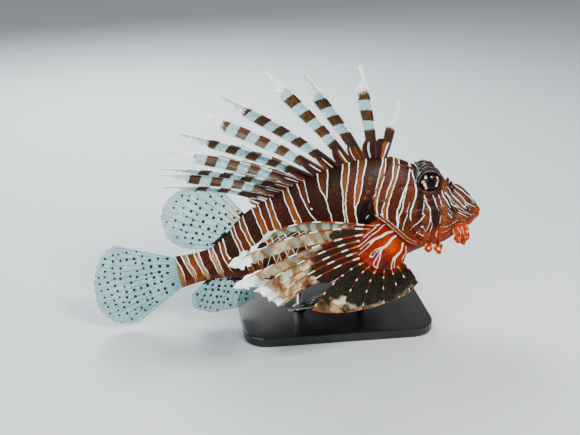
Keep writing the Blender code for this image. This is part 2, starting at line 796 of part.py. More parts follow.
def pectoral_rays(swing):
    shares = [r / (PECTORAL_ROWS - 1) for r in range(PECTORAL_ROWS)]
    rays = []
    for root, tip, bow in zip(PECTORAL_ROOTS, PECTORAL_TIPS, PECTORAL_BOWS):
        run = (Vector(tip) - Vector(root)).normalized()
        start = Vector(root) - run * RAY_SINK
        skew = 0.0 if rays else TOP_RAY_SKEW
        line = ray_line(start, tip, Vector((0, 0, bow)), shares, skew)
        rays.append([swing(p) for p in line])
    return rays


def make_pectoral_fin(name, swing, finish, lobe_clear, trunk, head):
    rays = pectoral_rays(swing)
    widths = []
    for i in range(len(rays)):
        row = []
        for r in range(PECTORAL_ROWS):
            share = r / (PECTORAL_ROWS - 1)
            swell = mix(0.7, 1.0, ramp(share, 0.1, 0.35)) * (1 - 0.8 * ramp(share, 0.9, 1.0))
            swell *= mix(1.0, OUTER_WIDTHS.get(i, 0.85), ramp(share, 0.42, 0.62))
            row.append(PECTORAL_STRIP * swell * (1 + rng.uniform(-0.12, 0.12)))
        widths.append(row)
    fin = rayed_sheet(name, rays, widths, PECTORAL_RAY, PECTORAL_WEB_ROWS, finish)
    return settle(fin, [("DIFFERENCE", [lobe_clear]), ("DIFFERENCE", [trunk]),
                        ("DIFFERENCE", [head])])


def lobe_sheet(name, swing, finish, grow=0.0):
    """The fleshy lobe from inside the trunk to the roots of the pectoral rays."""
    count = len(PECTORAL_ROOTS)
    grid = []
    half = []
    for c in range(LOBE_COLUMNS):
        share = c / (LOBE_COLUMNS - 1)
        row = []
        depth = []
        for i in range(count):
            root = Vector(LOBE_ROOTS[i])
            edge = Vector(PECTORAL_ROOTS[i])
            run = (Vector(PECTORAL_TIPS[i]) - edge).normalized()
            row.append(root.lerp(edge + run * grow, share))
            rounding = min(i, count - 1 - i) / 2
            fullness = mix(0.55, 1.0, ramp(rounding, 0, 1))
            depth.append(mix(*LOBE_THICKNESS, share) / 2 * fullness + grow)
        row[0] = row[0] + (row[0] - row[1]).normalized() * (LOBE_MARGIN + grow)
        row[-1] = row[-1] + (row[-1] - row[-2]).normalized() * (LOBE_MARGIN + grow)
        grid.append([swing(p) for p in row])
        half.append(depth)
    return sheet(name, grid, half, lambda r, c: True, finish)


def make_pectoral_base(name, swing, finish, trunk, head):
    lobe = lobe_sheet(name, swing, finish)
    return settle(lobe, [("DIFFERENCE", [trunk]), ("DIFFERENCE", [head])])


def make_stand(base_finish, rod_finish, trunk):
    length, width, height = BASE_SIZE
    outline = []
    corner_steps = 6
    for quarter in range(4):
        sign_x = 1 if quarter in (0, 3) else -1
        sign_y = 1 if quarter in (0, 1) else -1
        for k in range(corner_steps + 1):
            turn = math.pi / 2 * (quarter + k / corner_steps)
            outline.append((sign_x * (length / 2 - BASE_CORNER) + BASE_CORNER * math.cos(turn),
                            sign_y * (width / 2 - BASE_CORNER) + BASE_CORNER * math.sin(turn)))
    mesh = bpy.data.meshes.new("stand_base")
    shell = bmesh.new()
    ring = [shell.verts.new((x * MM, y * MM, 0)) for x, y in outline]
    foot = shell.faces.new(ring)
    raised = bmesh.ops.extrude_face_region(shell, geom=[foot])
    top = [v for v in raised["geom"] if isinstance(v, bmesh.types.BMVert)]
    bmesh.ops.translate(shell, vec=(0, 0, height * MM), verts=top)
    bmesh.ops.recalc_face_normals(shell, faces=shell.faces)
    shell.to_mesh(mesh)
    shell.free()
    mesh.materials.append(base_finish)
    base = bpy.data.objects.new("stand_base", mesh)
    bpy.context.scene.collection.objects.link(base)
    bevel = base.modifiers.new("edge", "BEVEL")
    bevel.width = BASE_BEVEL * MM
    bevel.segments = 2
    bevel.limit_method = "ANGLE"
    bevel.angle_limit = math.radians(50)

    for name, station in ROD_STATIONS.items():
        belly = body_row(station)[1]
        top = place((station, 0, belly + ROD_SINK))
        sides = 20
        mesh = bpy.data.meshes.new(name)
        shell = bmesh.new()
        low = height + GAP
        bmesh.ops.create_cone(shell, cap_ends=True, segments=sides, radius1=ROD_RADIUS * MM,
                              radius2=ROD_RADIUS * MM, depth=top.z - low * MM)
        bmesh.ops.translate(shell, vec=(top.x, 0, (top.z + low * MM) / 2), verts=shell.verts)
        shell.to_mesh(mesh)
        shell.free()
        mesh.materials.append(rod_finish)
        rod = bpy.data.objects.new(name, mesh)
        bpy.context.scene.collection.objects.link(rod)
        settle(rod, [("DIFFERENCE", [trunk])])


def build():
    clear_scene()
    skin = material("banded_skin", (0.16, 0.045, 0.03), 0.5)
    head_skin = material("striped_head_skin", (0.30, 0.09, 0.05), 0.5)
    fin_skin = material("spotted_fin_skin", (0.55, 0.47, 0.38), 0.45)
    banner = material("banded_fin_skin", (0.33, 0.13, 0.07), 0.45)
    red_flesh = material("red_fin_base", (0.62, 0.12, 0.04), 0.5)
    eye = material("eye", (0.02, 0.02, 0.02), 0.1)
    lacquer = material("stand_lacquer", (0.02, 0.02, 0.02), 0.35)
    steel = material("stand_steel", (0.55, 0.55, 0.55), 0.3, 1.0)

    trunk, head_clear = make_clearances()
    make_head(head_skin)
    make_torso(skin)
    make_tail(skin)
    for name, side in (("eye_right", 1), ("eye_left", -1)):
        ellipsoid(name, (EYE[0], EYE[1] * side, EYE[2]), EYE_RADII, 16, 10, eye)

    make_spiny_dorsal(banner, trunk, head_clear)
    no_bow = Vector((0, 0, 0))
    for name, roots, tips, count in (
            ("soft_dorsal_fin", SOFT_ROOTS, SOFT_TIPS, SOFT_RAYS),
            ("caudal_fin", CAUDAL_ROOTS, CAUDAL_TIPS, CAUDAL_RAYS),
            ("anal_fin", ANAL_ROOTS, ANAL_TIPS, ANAL_RAYS)):
        settle(fan(name, roots, tips, count, no_bow, fin_skin), [("DIFFERENCE", [trunk])])
    for name, swing in (("pelvic_fin_right", lambda p: Vector(p)),
                        ("pelvic_fin_left", lambda p: Vector(mirrored(p)))):
        fin = fan(name, PELVIC_ROOTS, PELVIC_TIPS, PELVIC_RAYS, Vector((0, 0, -3)), banner, swing)
        settle(fin, [("DIFFERENCE", [trunk])])
    for side, swing in (("right", right_swing), ("left", left_swing)):
        make_pectoral_base("pectoral_base_" + side, swing, red_flesh, trunk, head_clear)
        lobe_clear = lobe_sheet("lobe_clearance", swing, None, GAP)
        make_pectoral_fin("pectoral_fin_" + side, swing, banner, lobe_clear, trunk, head_clear)
        drop([lobe_clear])
    make_stand(lacquer, steel, trunk)
    drop([trunk, head_clear])


build()
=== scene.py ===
# %% [markdown]
# # Red lionfish, the looks of the still model
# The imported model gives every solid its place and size. This file dresses it: one painted skin over
# the flesh, thin see-through fins on tapered rays, glass eyes, frilled skin flaps, and the stand.
# Sizes are in millimetres, in the fish's own directions: u runs aft from the snout along the body,
# y is to its left and w is upwards. One function turns such a point into a place in the scene.

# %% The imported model
import math
from functools import partial

import bmesh
import bpy
import numpy as np
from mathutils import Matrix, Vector


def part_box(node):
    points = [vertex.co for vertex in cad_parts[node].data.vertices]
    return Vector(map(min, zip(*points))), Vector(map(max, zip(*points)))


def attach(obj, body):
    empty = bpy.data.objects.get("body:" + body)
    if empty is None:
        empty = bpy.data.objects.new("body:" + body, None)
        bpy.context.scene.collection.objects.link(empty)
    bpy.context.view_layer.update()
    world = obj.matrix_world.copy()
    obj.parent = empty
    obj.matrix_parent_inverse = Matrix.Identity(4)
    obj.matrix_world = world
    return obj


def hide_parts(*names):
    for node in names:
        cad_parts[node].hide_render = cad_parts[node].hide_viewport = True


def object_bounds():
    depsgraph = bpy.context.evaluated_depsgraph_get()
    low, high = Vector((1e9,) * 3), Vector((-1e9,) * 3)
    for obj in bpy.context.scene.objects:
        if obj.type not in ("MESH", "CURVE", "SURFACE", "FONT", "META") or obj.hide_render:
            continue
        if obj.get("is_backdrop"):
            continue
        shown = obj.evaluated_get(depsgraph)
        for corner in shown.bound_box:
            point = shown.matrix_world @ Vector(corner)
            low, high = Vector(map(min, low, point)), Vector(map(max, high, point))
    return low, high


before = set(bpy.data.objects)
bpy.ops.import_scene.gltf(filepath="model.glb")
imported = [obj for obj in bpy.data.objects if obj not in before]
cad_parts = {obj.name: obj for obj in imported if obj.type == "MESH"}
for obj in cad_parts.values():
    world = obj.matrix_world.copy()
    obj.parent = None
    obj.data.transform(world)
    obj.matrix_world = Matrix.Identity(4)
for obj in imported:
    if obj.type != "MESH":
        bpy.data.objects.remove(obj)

cad_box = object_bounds()
print("solids:", len(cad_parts), "nodes")

MM = 0.001

# %% [markdown]
# ## From the fish's directions to the scene
# The snout is the driving point, and the body is pitched nose up about it. The print shows that the
# packed head, the foremost solid of the fish, ends where the snout is.

# %% Placing points
PITCH = math.radians(9.8)
SNOUT = np.array((116.4, 0.0, 88.5))


def place(points):
    """Fish points in millimetres, one per row, as scene points in metres."""
    points = np.asarray(points, float).reshape(-1, 3)
    u, y, w = points.T
    x = SNOUT[0] - u * math.cos(PITCH) - w * math.sin(PITCH)
    z = SNOUT[2] - u * math.sin(PITCH) + w * math.cos(PITCH)
    return np.column_stack((x, y, z)) * MM


head_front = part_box("head")[1].x / MM
print("head box ends at x = %.1f mm, snout at %.1f mm" % (head_front, SNOUT[0]))

# %% [markdown]
# ## Curves through a few points
# A fish has no straight lines, yet a form should be driven by few numbers. So every outline, stripe
# and ray is a handful of points, and one smooth curve that passes through them all.

# %% Smooth curves


def mix(a, b, share):
    return a + (b - a) * share


def ramp(value, low, high):
    """0 below low, 1 above high, and smooth between."""
    share = np.clip((value - low) / (high - low), 0.0, 1.0)
    return share * share * (3 - 2 * share)


def smooth_curve(knots, values, x):
    """The values of a smooth curve through knots, for each number in x."""
    knots = np.asarray(knots, float)
    values = np.asarray(values, float)
    widths = np.diff(knots)
    rises = np.diff(values) / widths
    slopes = np.empty_like(values)
    slopes[0] = rises[0]
    slopes[-1] = rises[-1]
    slopes[1:-1] = (rises[:-1] * widths[1:] + rises[1:] * widths[:-1]) / (widths[1:] + widths[:-1])
    x = np.clip(x, knots[0], knots[-1])
    k = np.clip(np.searchsorted(knots, x) - 1, 0, len(widths) - 1)
    t = (x - knots[k]) / widths[k]
    start = (2 * t ** 3 - 3 * t ** 2 + 1) * values[k] + (t ** 3 - 2 * t ** 2 + t) * widths[k] * slopes[k]
    end = (3 * t ** 2 - 2 * t ** 3) * values[k + 1] + (t ** 3 - t ** 2) * widths[k] * slopes[k + 1]
    return start + end


def along(points, shares):
    """Points on a smooth curve through points, for shares from 0 to 1."""
    points = np.asarray(points, float)
    knots = np.arange(len(points))
    at = np.asarray(shares, float) * (len(points) - 1)
    return np.column_stack([smooth_curve(knots, points[:, axis], at) for axis in range(points.shape[1])])


def smooth_line(line):
    return along(line, np.linspace(0, 1, 6 * (len(line) - 1) + 1))


def distance_to_line(places, line, half=0.0, pointed=False):
    """How far each (u, w) place is from a painted line, in millimetres and negative inside it."""
    line = smooth_line(line)
    count = len(line) - 1
    nearest = np.full(len(places), 1e9)
    for k in range(count):
        run = line[k + 1] - line[k]
        share = np.clip((places - line[k]) @ run / max(run @ run, 1e-9), 0, 1)
        off = places - (line[k] + share[:, None] * run)
        width = half
        if pointed:
            at = (k + share) / count
            width = half * (0.25 + 0.75 * (4 * at * (1 - at)) ** 0.5)
        nearest = np.minimum(nearest, np.hypot(off[:, 0], off[:, 1]) - width)
    return nearest


def wander(count, strength, waves, seed):
    """A smooth random wave of count values, for ragged edges."""
    own = np.random.default_rng(seed)
    at = np.linspace(0, 1, count)
    total = np.zeros(count)
    for k in range(1, waves + 1):
        total += np.sin(2 * math.pi * (k * at + own.random())) * own.uniform(0.4, 1.0) / math.sqrt(k)
    return total * strength / math.sqrt(waves)


# %% [markdown]
# ## The photograph's point of view
# The camera stands well off with a longish lens, so that the near fin doesn't swell. It looks from
# a little above the fish and a little towards its tail.

# %% Camera
CAMERA_TARGET = Vector((-0.035, 0.0, 0.088))
CAMERA_AZIMUTH = math.radians(-8)
CAMERA_ELEVATION = math.radians(22)
CAMERA_DISTANCE = 0.70
LENS = 56.0

camera_data = bpy.data.cameras.new("camera")
camera_data.lens = LENS
camera = bpy.data.objects.new("camera", camera_data)
bpy.context.scene.collection.objects.link(camera)
level = math.cos(CAMERA_ELEVATION)
backwards = Vector((math.sin(CAMERA_AZIMUTH) * level, -math.cos(CAMERA_AZIMUTH) * level,
                    math.sin(CAMERA_ELEVATION)))
camera.location = CAMERA_TARGET + backwards * CAMERA_DISTANCE
camera.rotation_euler = backwards.to_track_quat("Z", "Y").to_euler()
bpy.context.scene.camera = camera
print("camera at", [round(v, 3) for v in camera.location])

# %% [markdown]
# ## Soft studio light
# Large area lights give the broad, soft highlights of a photographer's softbox. The key light stands
# on the camera's side and above, a fill softens its shadow, and a light from behind and above draws
# a rim on the spines and shows that the fins are thin.

# %% Lights and floor


def softbox(name, place_at, size, watts, colour):
    data = bpy.data.lights.new(name, "AREA")
    data.shape = "DISK"
    data.size = size
    data.energy = watts
    data.color = colour
    made = bpy.data.objects.new(name, data)
    bpy.context.scene.collection.objects.link(made)
    made.location = place_at
    away = Vector(place_at) - CAMERA_TARGET
    made.rotation_euler = away.to_track_quat("Z", "Y").to_euler()


# Name, place, size in metres, watts and colour of each light.
softbox("key", (0.45, -0.75, 0.95), 0.45, 18, (1.0, 0.98, 0.95))
softbox("fill", (-0.85, -0.65, 0.45), 0.8, 5, (0.93, 0.97, 1.0))
softbox("rim", (-0.25, 0.85, 0.75), 0.6, 13, (0.97, 0.99, 1.0))

world = bpy.data.worlds.new("studio")
bpy.context.scene.world = world
world.use_nodes = True
world.node_tree.nodes["Background"].inputs["Color"].default_value = (0.80, 0.84, 0.86, 1)
world.node_tree.nodes["Background"].inputs["Strength"].default_value = 0.42
bpy.context.scene.cycles.transparent_max_bounces = 48
bpy.context.scene.view_settings.look = "AgX - Medium High Contrast"

# %% [markdown]
# ## Helpers for materials and meshes
# Paint colours are chosen as sRGB hex values, as on a colour chart, and Cycles works in linear
# light, so one function converts them. Another adds any node, with its settings and links. The
# patterns need much arithmetic, so the kinds of node that do it have short names.

# %% Colours and nodes
PLUS, MINUS, TIMES, OVER, LARGER, SMALLER, SINE, FRACTION, ABSOLUTE, ROOT = [
    ("ShaderNodeMath", {"operation": operation})
    for operation in ("ADD", "SUBTRACT", "MULTIPLY", "DIVIDE", "MAXIMUM", "MINIMUM", "SINE", "FRACT",
                      "ABSOLUTE", "SQRT")]
# EDGE runs smoothly from 0 at one value to 1 at another. The second may be the lower one.
EDGE = ("ShaderNodeMapRange", {"interpolation_type": "SMOOTHSTEP"})
BLEND = ("ShaderNodeMix", {"data_type": "RGBA"})
SHADER_INPUTS = {"coat": "Coat Weight", "coat_roughness": "Coat Roughness", "alpha": "Alpha",
                 "specular": "Specular IOR Level", "metallic": "Metallic"}


def linear(hex_colour):
    """An sRGB hex colour as linear red, green, blue and alpha."""
    parts = [int(hex_colour[k:k + 2], 16) / 255 for k in (1, 3, 5)]
    return tuple([c / 12.92 if c <= 0.04045 else ((c + 0.055) / 1.055) ** 2.4 for c in parts]) + (1.0,)


def give(tree, socket, value):
    """Links an input, or sets it to a plain value or a hex colour."""
    if isinstance(value, bpy.types.NodeSocket):
        tree.links.new(value, socket)
    elif isinstance(value, str) and value.startswith("#"):
        socket.default_value = linear(value)
    else:
        socket.default_value = value


def add(tree, kind, *values, out=None, **named):
    """Adds a node, fills its inputs in order or by name, and gives back one of its outputs."""
    kind, settings = (kind, {}) if isinstance(kind, str) else kind
    made = tree.nodes.new(kind)
    for key, value in settings.items():
        setattr(made, key, value)
    shown = [socket for socket in made.inputs if socket.enabled]
    for socket, value in zip(shown, values):
        give(tree, socket, value)
    for key, value in named.items():
        give(tree, made.inputs[key], value)
    return made.outputs[out] if out else [socket for socket in made.outputs if socket.enabled][0]


def radial(node, a, b):
    """The length of a step of a and b at right angles."""
    return node(ROOT, node(PLUS, node(TIMES, a, a), node(TIMES, b, b)))


def start_material(name, *carried):
    """A new material, the function that adds its nodes, and the numbers that its mesh carries."""
    made = bpy.data.materials.new(name)
    made.use_nodes = True
    node = partial(add, made.node_tree)
    numbers = [node(("ShaderNodeAttribute", {"attribute_name": key}), out="Fac") for key in carried]
    return [made, node] + numbers


def finish_material(made, colour, roughness, bump=None, **values):
    """Sets the Principled shader. Bump is its strength, depth in metres and height pattern."""
    shader = made.node_tree.nodes["Principled BSDF"]
    wanted = {"Base Color": colour, "Roughness": roughness, "Coat Roughness": 0.2}
    wanted.update({SHADER_INPUTS[key]: value for key, value in values.items()})
    if bump:
        strength, depth, height = bump
        wanted["Normal"] = add(made.node_tree, "ShaderNodeBump", strength, depth, Height=height)
    for key, value in wanted.items():
        give(made.node_tree, shader.inputs[key], value)
    return made


def noise(node, size_mm, detail=3.0, roughness=0.6, stretch=(1, 1, 1), seed=0.0):
    """Noise with bumps of about size_mm, from Object coordinates, which are in metres."""
    where = node("ShaderNodeTexCoord", out="Object")
    turned = node("ShaderNodeMapping", where, (seed, seed, seed), (0, 0, 0), stretch)
    return node("ShaderNodeTexNoise", turned, 1 / (size_mm * MM), detail, roughness)


# %% Meshes


def carry(mesh, values):
    """Lays numbers, or rows of three numbers, on the points of a mesh, each under its name."""
    for key, numbers in values.items():
        numbers = np.asarray(numbers, np.float32)
        kind, field = ("FLOAT", "value") if numbers.ndim == 1 else ("FLOAT_VECTOR", "vector")
        mesh.attributes.new(key, kind, "POINT").data.foreach_set(field, numbers.ravel())


def mesh_object(name, points, faces, values=None, finish=None, edges=()):
    """A mesh object from scene points and faces, with the values that its points carry."""
    mesh = bpy.data.meshes.new(name)
    mesh.from_pydata([tuple(p) for p in points], edges, faces)
    carry(mesh, values or {})
    made = bpy.data.objects.new(name, mesh)
    bpy.context.scene.collection.objects.link(made)
    if finish:
        mesh.materials.append(finish)
    return made


def grid_faces(rows, columns, closed=False):
    """Quads over a grid of points. Closed joins the last column to the first."""
    faces = []
    for r in range(rows - 1):
        for c in range(columns if closed else columns - 1):
            after = (c + 1) % columns
            here = r * columns
            ahead = here + columns
            faces.append((here + c, ahead + c, ahead + after, here + after))
    return faces


def closed_form(rings, first, last):
    """Points and faces of a closed form, from its rings of points and the two points at its ends."""
    count, sides = rings.shape[:2]
    faces = grid_faces(count, sides, closed=True)
    tip = count * sides
    for k in range(sides):
        after = (k + 1) % sides
        faces.append((tip, k, after))
        faces.append((tip - sides + k, tip + 1, tip - sides + after))
    return np.vstack((rings.reshape(-1, 3), first, last)), faces


def turned_form(profile, sides, middle=(0, 0, 0)):
    """Points and faces of a profile of (radius, height), turned about an upright axis."""
    turns = [2 * math.pi * k / sides for k in range(sides)]
    points = [(middle[0] + far * math.cos(turn), middle[1] + far * math.sin(turn), middle[2] + up)
              for far, up in profile for turn in turns]
    return points, grid_faces(len(profile), sides, closed=True)


def read_points(made, field="vertices", key="co"):
    """The places of an object's points, or their normals, one per row."""
    numbers = np.empty(len(made.data.vertices) * 3)
    getattr(made.data, field).foreach_get(key, numbers)
    return numbers.reshape(-1, 3)


def move_points(made, points):
    made.data.vertices.foreach_set("co", np.ascontiguousarray(points, np.float64).ravel())
    made.data.update()


def face_outwards(made, weld=0.0):
    """Turns the faces outwards, after points closer than weld, in metres, are merged."""
    shell = bmesh.new()
    shell.from_mesh(made.data)
    if weld:
        bmesh.ops.remove_doubles(shell, verts=shell.verts, dist=weld)
    bmesh.ops.recalc_face_normals(shell, faces=shell.faces)
    shell.to_mesh(made.data)
    shell.free()


def bake_modifiers(made):
    """Turns an object and its modifiers into a plain mesh."""
    seen = made.evaluated_get(bpy.context.evaluated_depsgraph_get())
    mesh = bpy.data.meshes.new_from_object(seen)
    mesh.name = made.name
    made.modifiers.clear()
    made.data = mesh
    return made


def finish_piece(piece, slot, *nodes):
    """Shades a piece, lets it ride on the fish, hides the solids that it stands for, and prints its
    triangles.
    """
    piece.data.shade_smooth()
    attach(piece, "root")
    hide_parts(*nodes)
    piece.data.calc_loop_triangles()
    print(piece.name, len(piece.data.loop_triangles), "triangles")


# %% [markdown]
# ## The trunk as one smooth form
# The body is a loft, a skin drawn over sections like the hull of a boat. The same kind of rows of
# back, belly and width as in the solids drive it, only with far more sections and points.

# %% Body rows
# Each row: u, back, belly, widest level and half width.
BODY = np.array([
    (0, 0, 0, 0, 0),
    (1, 3.6, -3.2, -0.5, 3.8),
    (3.5, 8, -7, -1, 6.5),
    (7, 15, -10.4, -1.5, 8.8),
    (11, 20.6, -12.8, -2, 10.8),
    (16, 23.6, -14.8, -2, 12.4),
    (22, 25.6, -17, -1, 13.8),
    (26, 33, -19.2, 2, 14.6),
    (31, 41, -21.6, 4, 15.6),
    (38, 45.4, -22.6, 5, 16.8),
    (47, 47.2, -23.4, 5.5, 18.2),
    (57, 53.6, -25.2, 6, 19.6),
    (68, 58.4, -28, 7, 20.8),
    (80, 60.8, -30.8, 9, 21.6),
    (95, 61, -32.8, 10, 21.8),
    (112, 58.6, -33.4, 10, 20.6),
    (130, 54.4, -32.4, 9, 18),
    (148, 49.4, -29.8, 8, 14.8),
    (165, 43.8, -25.6, 7, 11.8),
    (180, 38.2, -21.4, 5, 9.2),
    (192, 30.4, -18, 3.5, 7.4),
    (204, 19.8, -14, 2, 5.9),
    (214, 14.6, -12.3, 1, 5),
    (226, 13, -12.2, 0, 4),
    (237, 13.3, -13.4, 0, 2.7),
    (243, 13.6, -14.4, 0, 1.2),
], float)
BACK_SHARPNESS = 1.25
BELLY_SHARPNESS = 0.95
BODY_LENGTH = BODY[-1, 0]
# Sections stand closer on the blunt snout.
SNOUT_SECTIONS = (0.3, 0.7, 1.2, 1.8, 2.5, 3.3)
BODY_SECTIONS = 240
BODY_RING = 160


def body_rows(u):
    """Back, belly, widest level and half width of the body at each u."""
    return [smooth_curve(BODY[:, 0], BODY[:, k], u) for k in range(1, 5)]


def half_width(u, w):
    back, belly, widest, half = body_rows(np.atleast_1d(u))
    upper = w >= widest
    reach = np.where(upper, (w - widest) / np.maximum(back - widest, 0.01),
                     (widest - w) / np.maximum(widest - belly, 0.01))
    sharpness = np.where(upper, BACK_SHARPNESS, BELLY_SHARPNESS)
    return half * (1 - np.clip(reach, 0, 1) ** 2) ** (sharpness / 2)


def height_share(u, w):
    """1 on the back, 0 on the widest line and -1 under the belly."""
    back, belly, widest, _ = body_rows(u)
    up = (w - widest) / np.maximum(back - widest, 0.01)
    down = (w - widest) / np.maximum(widest - belly, 0.01)
    return np.clip(np.where(w >= widest, up, down), -1, 1)


def body_shell():
    """Points and faces of the closed trunk in fish millimetres."""
    stations = np.concatenate((SNOUT_SECTIONS, np.linspace(4.2, BODY_LENGTH, BODY_SECTIONS)))
    angle = 2 * math.pi * np.arange(BODY_RING) / BODY_RING
    back, belly, widest, half = [row[:, None] for row in body_rows(stations)]
    rise = np.cos(angle)
    side = np.sin(angle)
    w = np.where(rise >= 0, widest + (back - widest) * rise, widest + (widest - belly) * rise)
    sharpness = np.where(rise >= 0, BACK_SHARPNESS, BELLY_SHARPNESS)
    y = half * np.sign(side) * np.abs(side) ** sharpness
    u = np.repeat(stations[:, None], BODY_RING, axis=1)
    return closed_form(np.stack((u, y, w), axis=2), (0, 0, 0), (BODY_LENGTH, 0, 0))


# %% [markdown]
# ## Forms that grow out of the trunk
# The bony ring round each eye, the lips and the fleshy fin bases are closed forms that overlap the
# trunk. A voxel remesh then wraps them all in one even skin, as a sculptor would press clay pellets
# on and smooth them in. It was chosen over Booleans because it leaves no seams and an even grid,
# which the painted pattern needs.

# %% Eye and lips
EYE = (39.4, -10.6, 35.0)
EYE_RADII = (7.7, 6.0, 7.7)
SOCKET_RADIUS = EYE_RADII[0] - 0.1
SOCKET_SINK = 0.6
ORBIT_RADII = (10.9, 5.6, 10.4)
ORBIT_MIDDLE_Y = -9.6
MOUTH_LINE = [(-6, -1.2), (0, -1.8), (6, -3.2), (12, -4.4), (19.5, -4.4)]
MOUTH_GAPE = 1.1
LIP_RADIUS = 1.5


def ellipsoid(middle, radii, segments=40, rings=24):
    """Points and faces of a closed ellipsoid whose poles lie across the fish."""
    polar = math.pi * np.arange(1, rings) / rings
    turn = 2 * math.pi * np.arange(segments) / segments
    u = middle[0] + radii[0] * np.sin(polar)[:, None] * np.cos(turn)
    y = np.repeat((middle[1] - radii[1] * np.cos(polar))[:, None], segments, axis=1)
    w = middle[2] + radii[2] * np.sin(polar)[:, None] * np.sin(turn)
    reach = np.array((0, radii[1], 0))
    return closed_form(np.stack((u, y, w), axis=2), middle - reach, middle + reach)


def tube(path, radii, sides=14):
    """Points and faces of a round tube along a path, closed at both ends."""
    path = np.asarray(path, float)
    runs = np.gradient(path, axis=0)
    runs /= np.linalg.norm(runs, axis=1)[:, None]
    guide = np.where(np.abs(runs[:, 2:3]) > 0.9, np.array([[1.0, 0, 0]]), np.array([[0, 0, 1.0]]))
    across = np.cross(runs, guide)
    across /= np.linalg.norm(across, axis=1)[:, None]
    other = np.cross(runs, across)
    turn = 2 * math.pi * np.arange(sides) / sides
    circle = across[:, None, :] * np.cos(turn)[:, None] + other[:, None, :] * np.sin(turn)[:, None]
    points = (path[:, None, :] + circle * np.asarray(radii)[:, None, None]).reshape(-1, 3)
    faces = grid_faces(len(path), sides, closed=True)
    faces.append(tuple(range(sides)))
    faces.append(tuple(range(len(points) - 1, len(points) - sides - 1, -1)))
    return points, faces


def mirrored(points):
    return np.asarray(points, float) * np.array((1, -1, 1))


def lip(above):
    """A rounded lip round the snout, on one side of the mouth's line."""
    offset = (MOUTH_GAPE / 2 + LIP_RADIUS * 0.72) * (1 if above else -1)
    corner = MOUTH_LINE[-1][0] - 1.5
    stations = np.array([corner, 15.5, 11.5, 8, 5, 2.8, 1.2])
    levels = np.transpose(MOUTH_LINE)
    w = smooth_curve(*levels, stations) + offset
    side = -np.maximum(half_width(stations, w) - 0.5, 1.6)
    near = np.column_stack((stations, side, w))
    front = (0.7, 0, smooth_curve(*levels, np.array([0.0]))[0] + offset)
    path = along(np.vstack((near, front, mirrored(near)[::-1])), np.linspace(0, 1, 60))
    radii = LIP_RADIUS * mix(0.6, 1.0, ramp(1 - np.abs(np.linspace(-1, 1, 60)), 0, 0.15))
    return tube(path, radii)


# %% [markdown]
# ## Fleshy bases of the pectoral fins
# Each pectoral fin stands on a broad lobe of flesh that leaves the trunk behind the gill cover. It
# is a thick curved sheet from a line inside the trunk to the roots of the fourteen rays.

# %% Pectoral rays and lobes
PECTORAL_ROOTS = [
    (89.1, -24, 14), (94.5, -27, 13.4), (99.6, -29, 11), (103.6, -31, 7.6),
    (106, -32, 3.6), (106.6, -33, -0.8), (105.6, -34, -5.2), (103.3, -35, -9.4),
    (99.8, -36, -13.4), (94.6, -36, -17.4), (88.4, -35, -20.4), (82.2, -34, -21.6),
    (76.8, -32, -21.2), (72.2, -29, -19.4),
]
PECTORAL_TIPS = [
    (186, -98, 49.5), (202, -104, 45), (202, -112, 32.5), (189.6, -114, 27.5),
    (184.2, -112, 21.5), (180.9, -108, 15), (175.6, -102, 7), (152.3, -92, -7.5),
    (132.1, -86, -18), (115.9, -80, -22.5), (98.5, -73, -25.5), (85.6, -66, -27.5),
    (75.5, -59, -28.5), (66.5, -50, -27.5),
]
PECTORAL_BOWS = [12, 9, 6, 5, 4, 4, 4, 5, 5, 4, 4, 3, 3, 2]
LEFT_FIN_LIFT = math.radians(8.0)
LIFT_MIDDLE = (27.0, 2.0)
LOBE_ROOTS = [
    (80, -15, 12.5), (78.5, -15, 11.5), (76.5, -15, 9), (74.5, -15, 6),
    (72.8, -15, 3), (71.3, -15, 0), (70, -15, -3.2), (68.8, -15, -6.4),
    (67.6, -15, -9.4), (66.4, -14, -12.2), (65.2, -13, -14.6), (64.2, -12, -16.6),
    (63.4, -11, -18.2), (62.8, -10, -19.6),
]
LOBE_THICKNESS = (7.0, 3.6)
LOBE_ROWS = 26
LOBE_COLUMNS = 70
# How much the flesh swells over each gap between two rays, and the share left at its rim.
LOBE_RIPPLE = 0.10
LOBE_RIM = 0.45


def left_swing(points):
    """The left fin is the right one mirrored, and swung up about its base."""
    u, y, w = np.moveaxis(np.asarray(points, float), -1, 0)
    y = -y - LIFT_MIDDLE[0]
    w = w - LIFT_MIDDLE[1]
    turn = LEFT_FIN_LIFT * ramp(y, 4, 40)
    return np.stack((u, LIFT_MIDDLE[0] + y * np.cos(turn) - w * np.sin(turn),
                     LIFT_MIDDLE[1] + y * np.sin(turn) + w * np.cos(turn)), axis=-1)


FIN_SIDES = (("right", np.asarray), ("left", left_swing))


def sheet_normals(grid):
    """The direction across a curved grid of points, at each of them."""
    down = np.gradient(grid, axis=0)
    over = np.gradient(grid, axis=1)
    facing = np.cross(down, over)
    return facing / np.maximum(np.linalg.norm(facing, axis=2), 1e-9)[..., None]


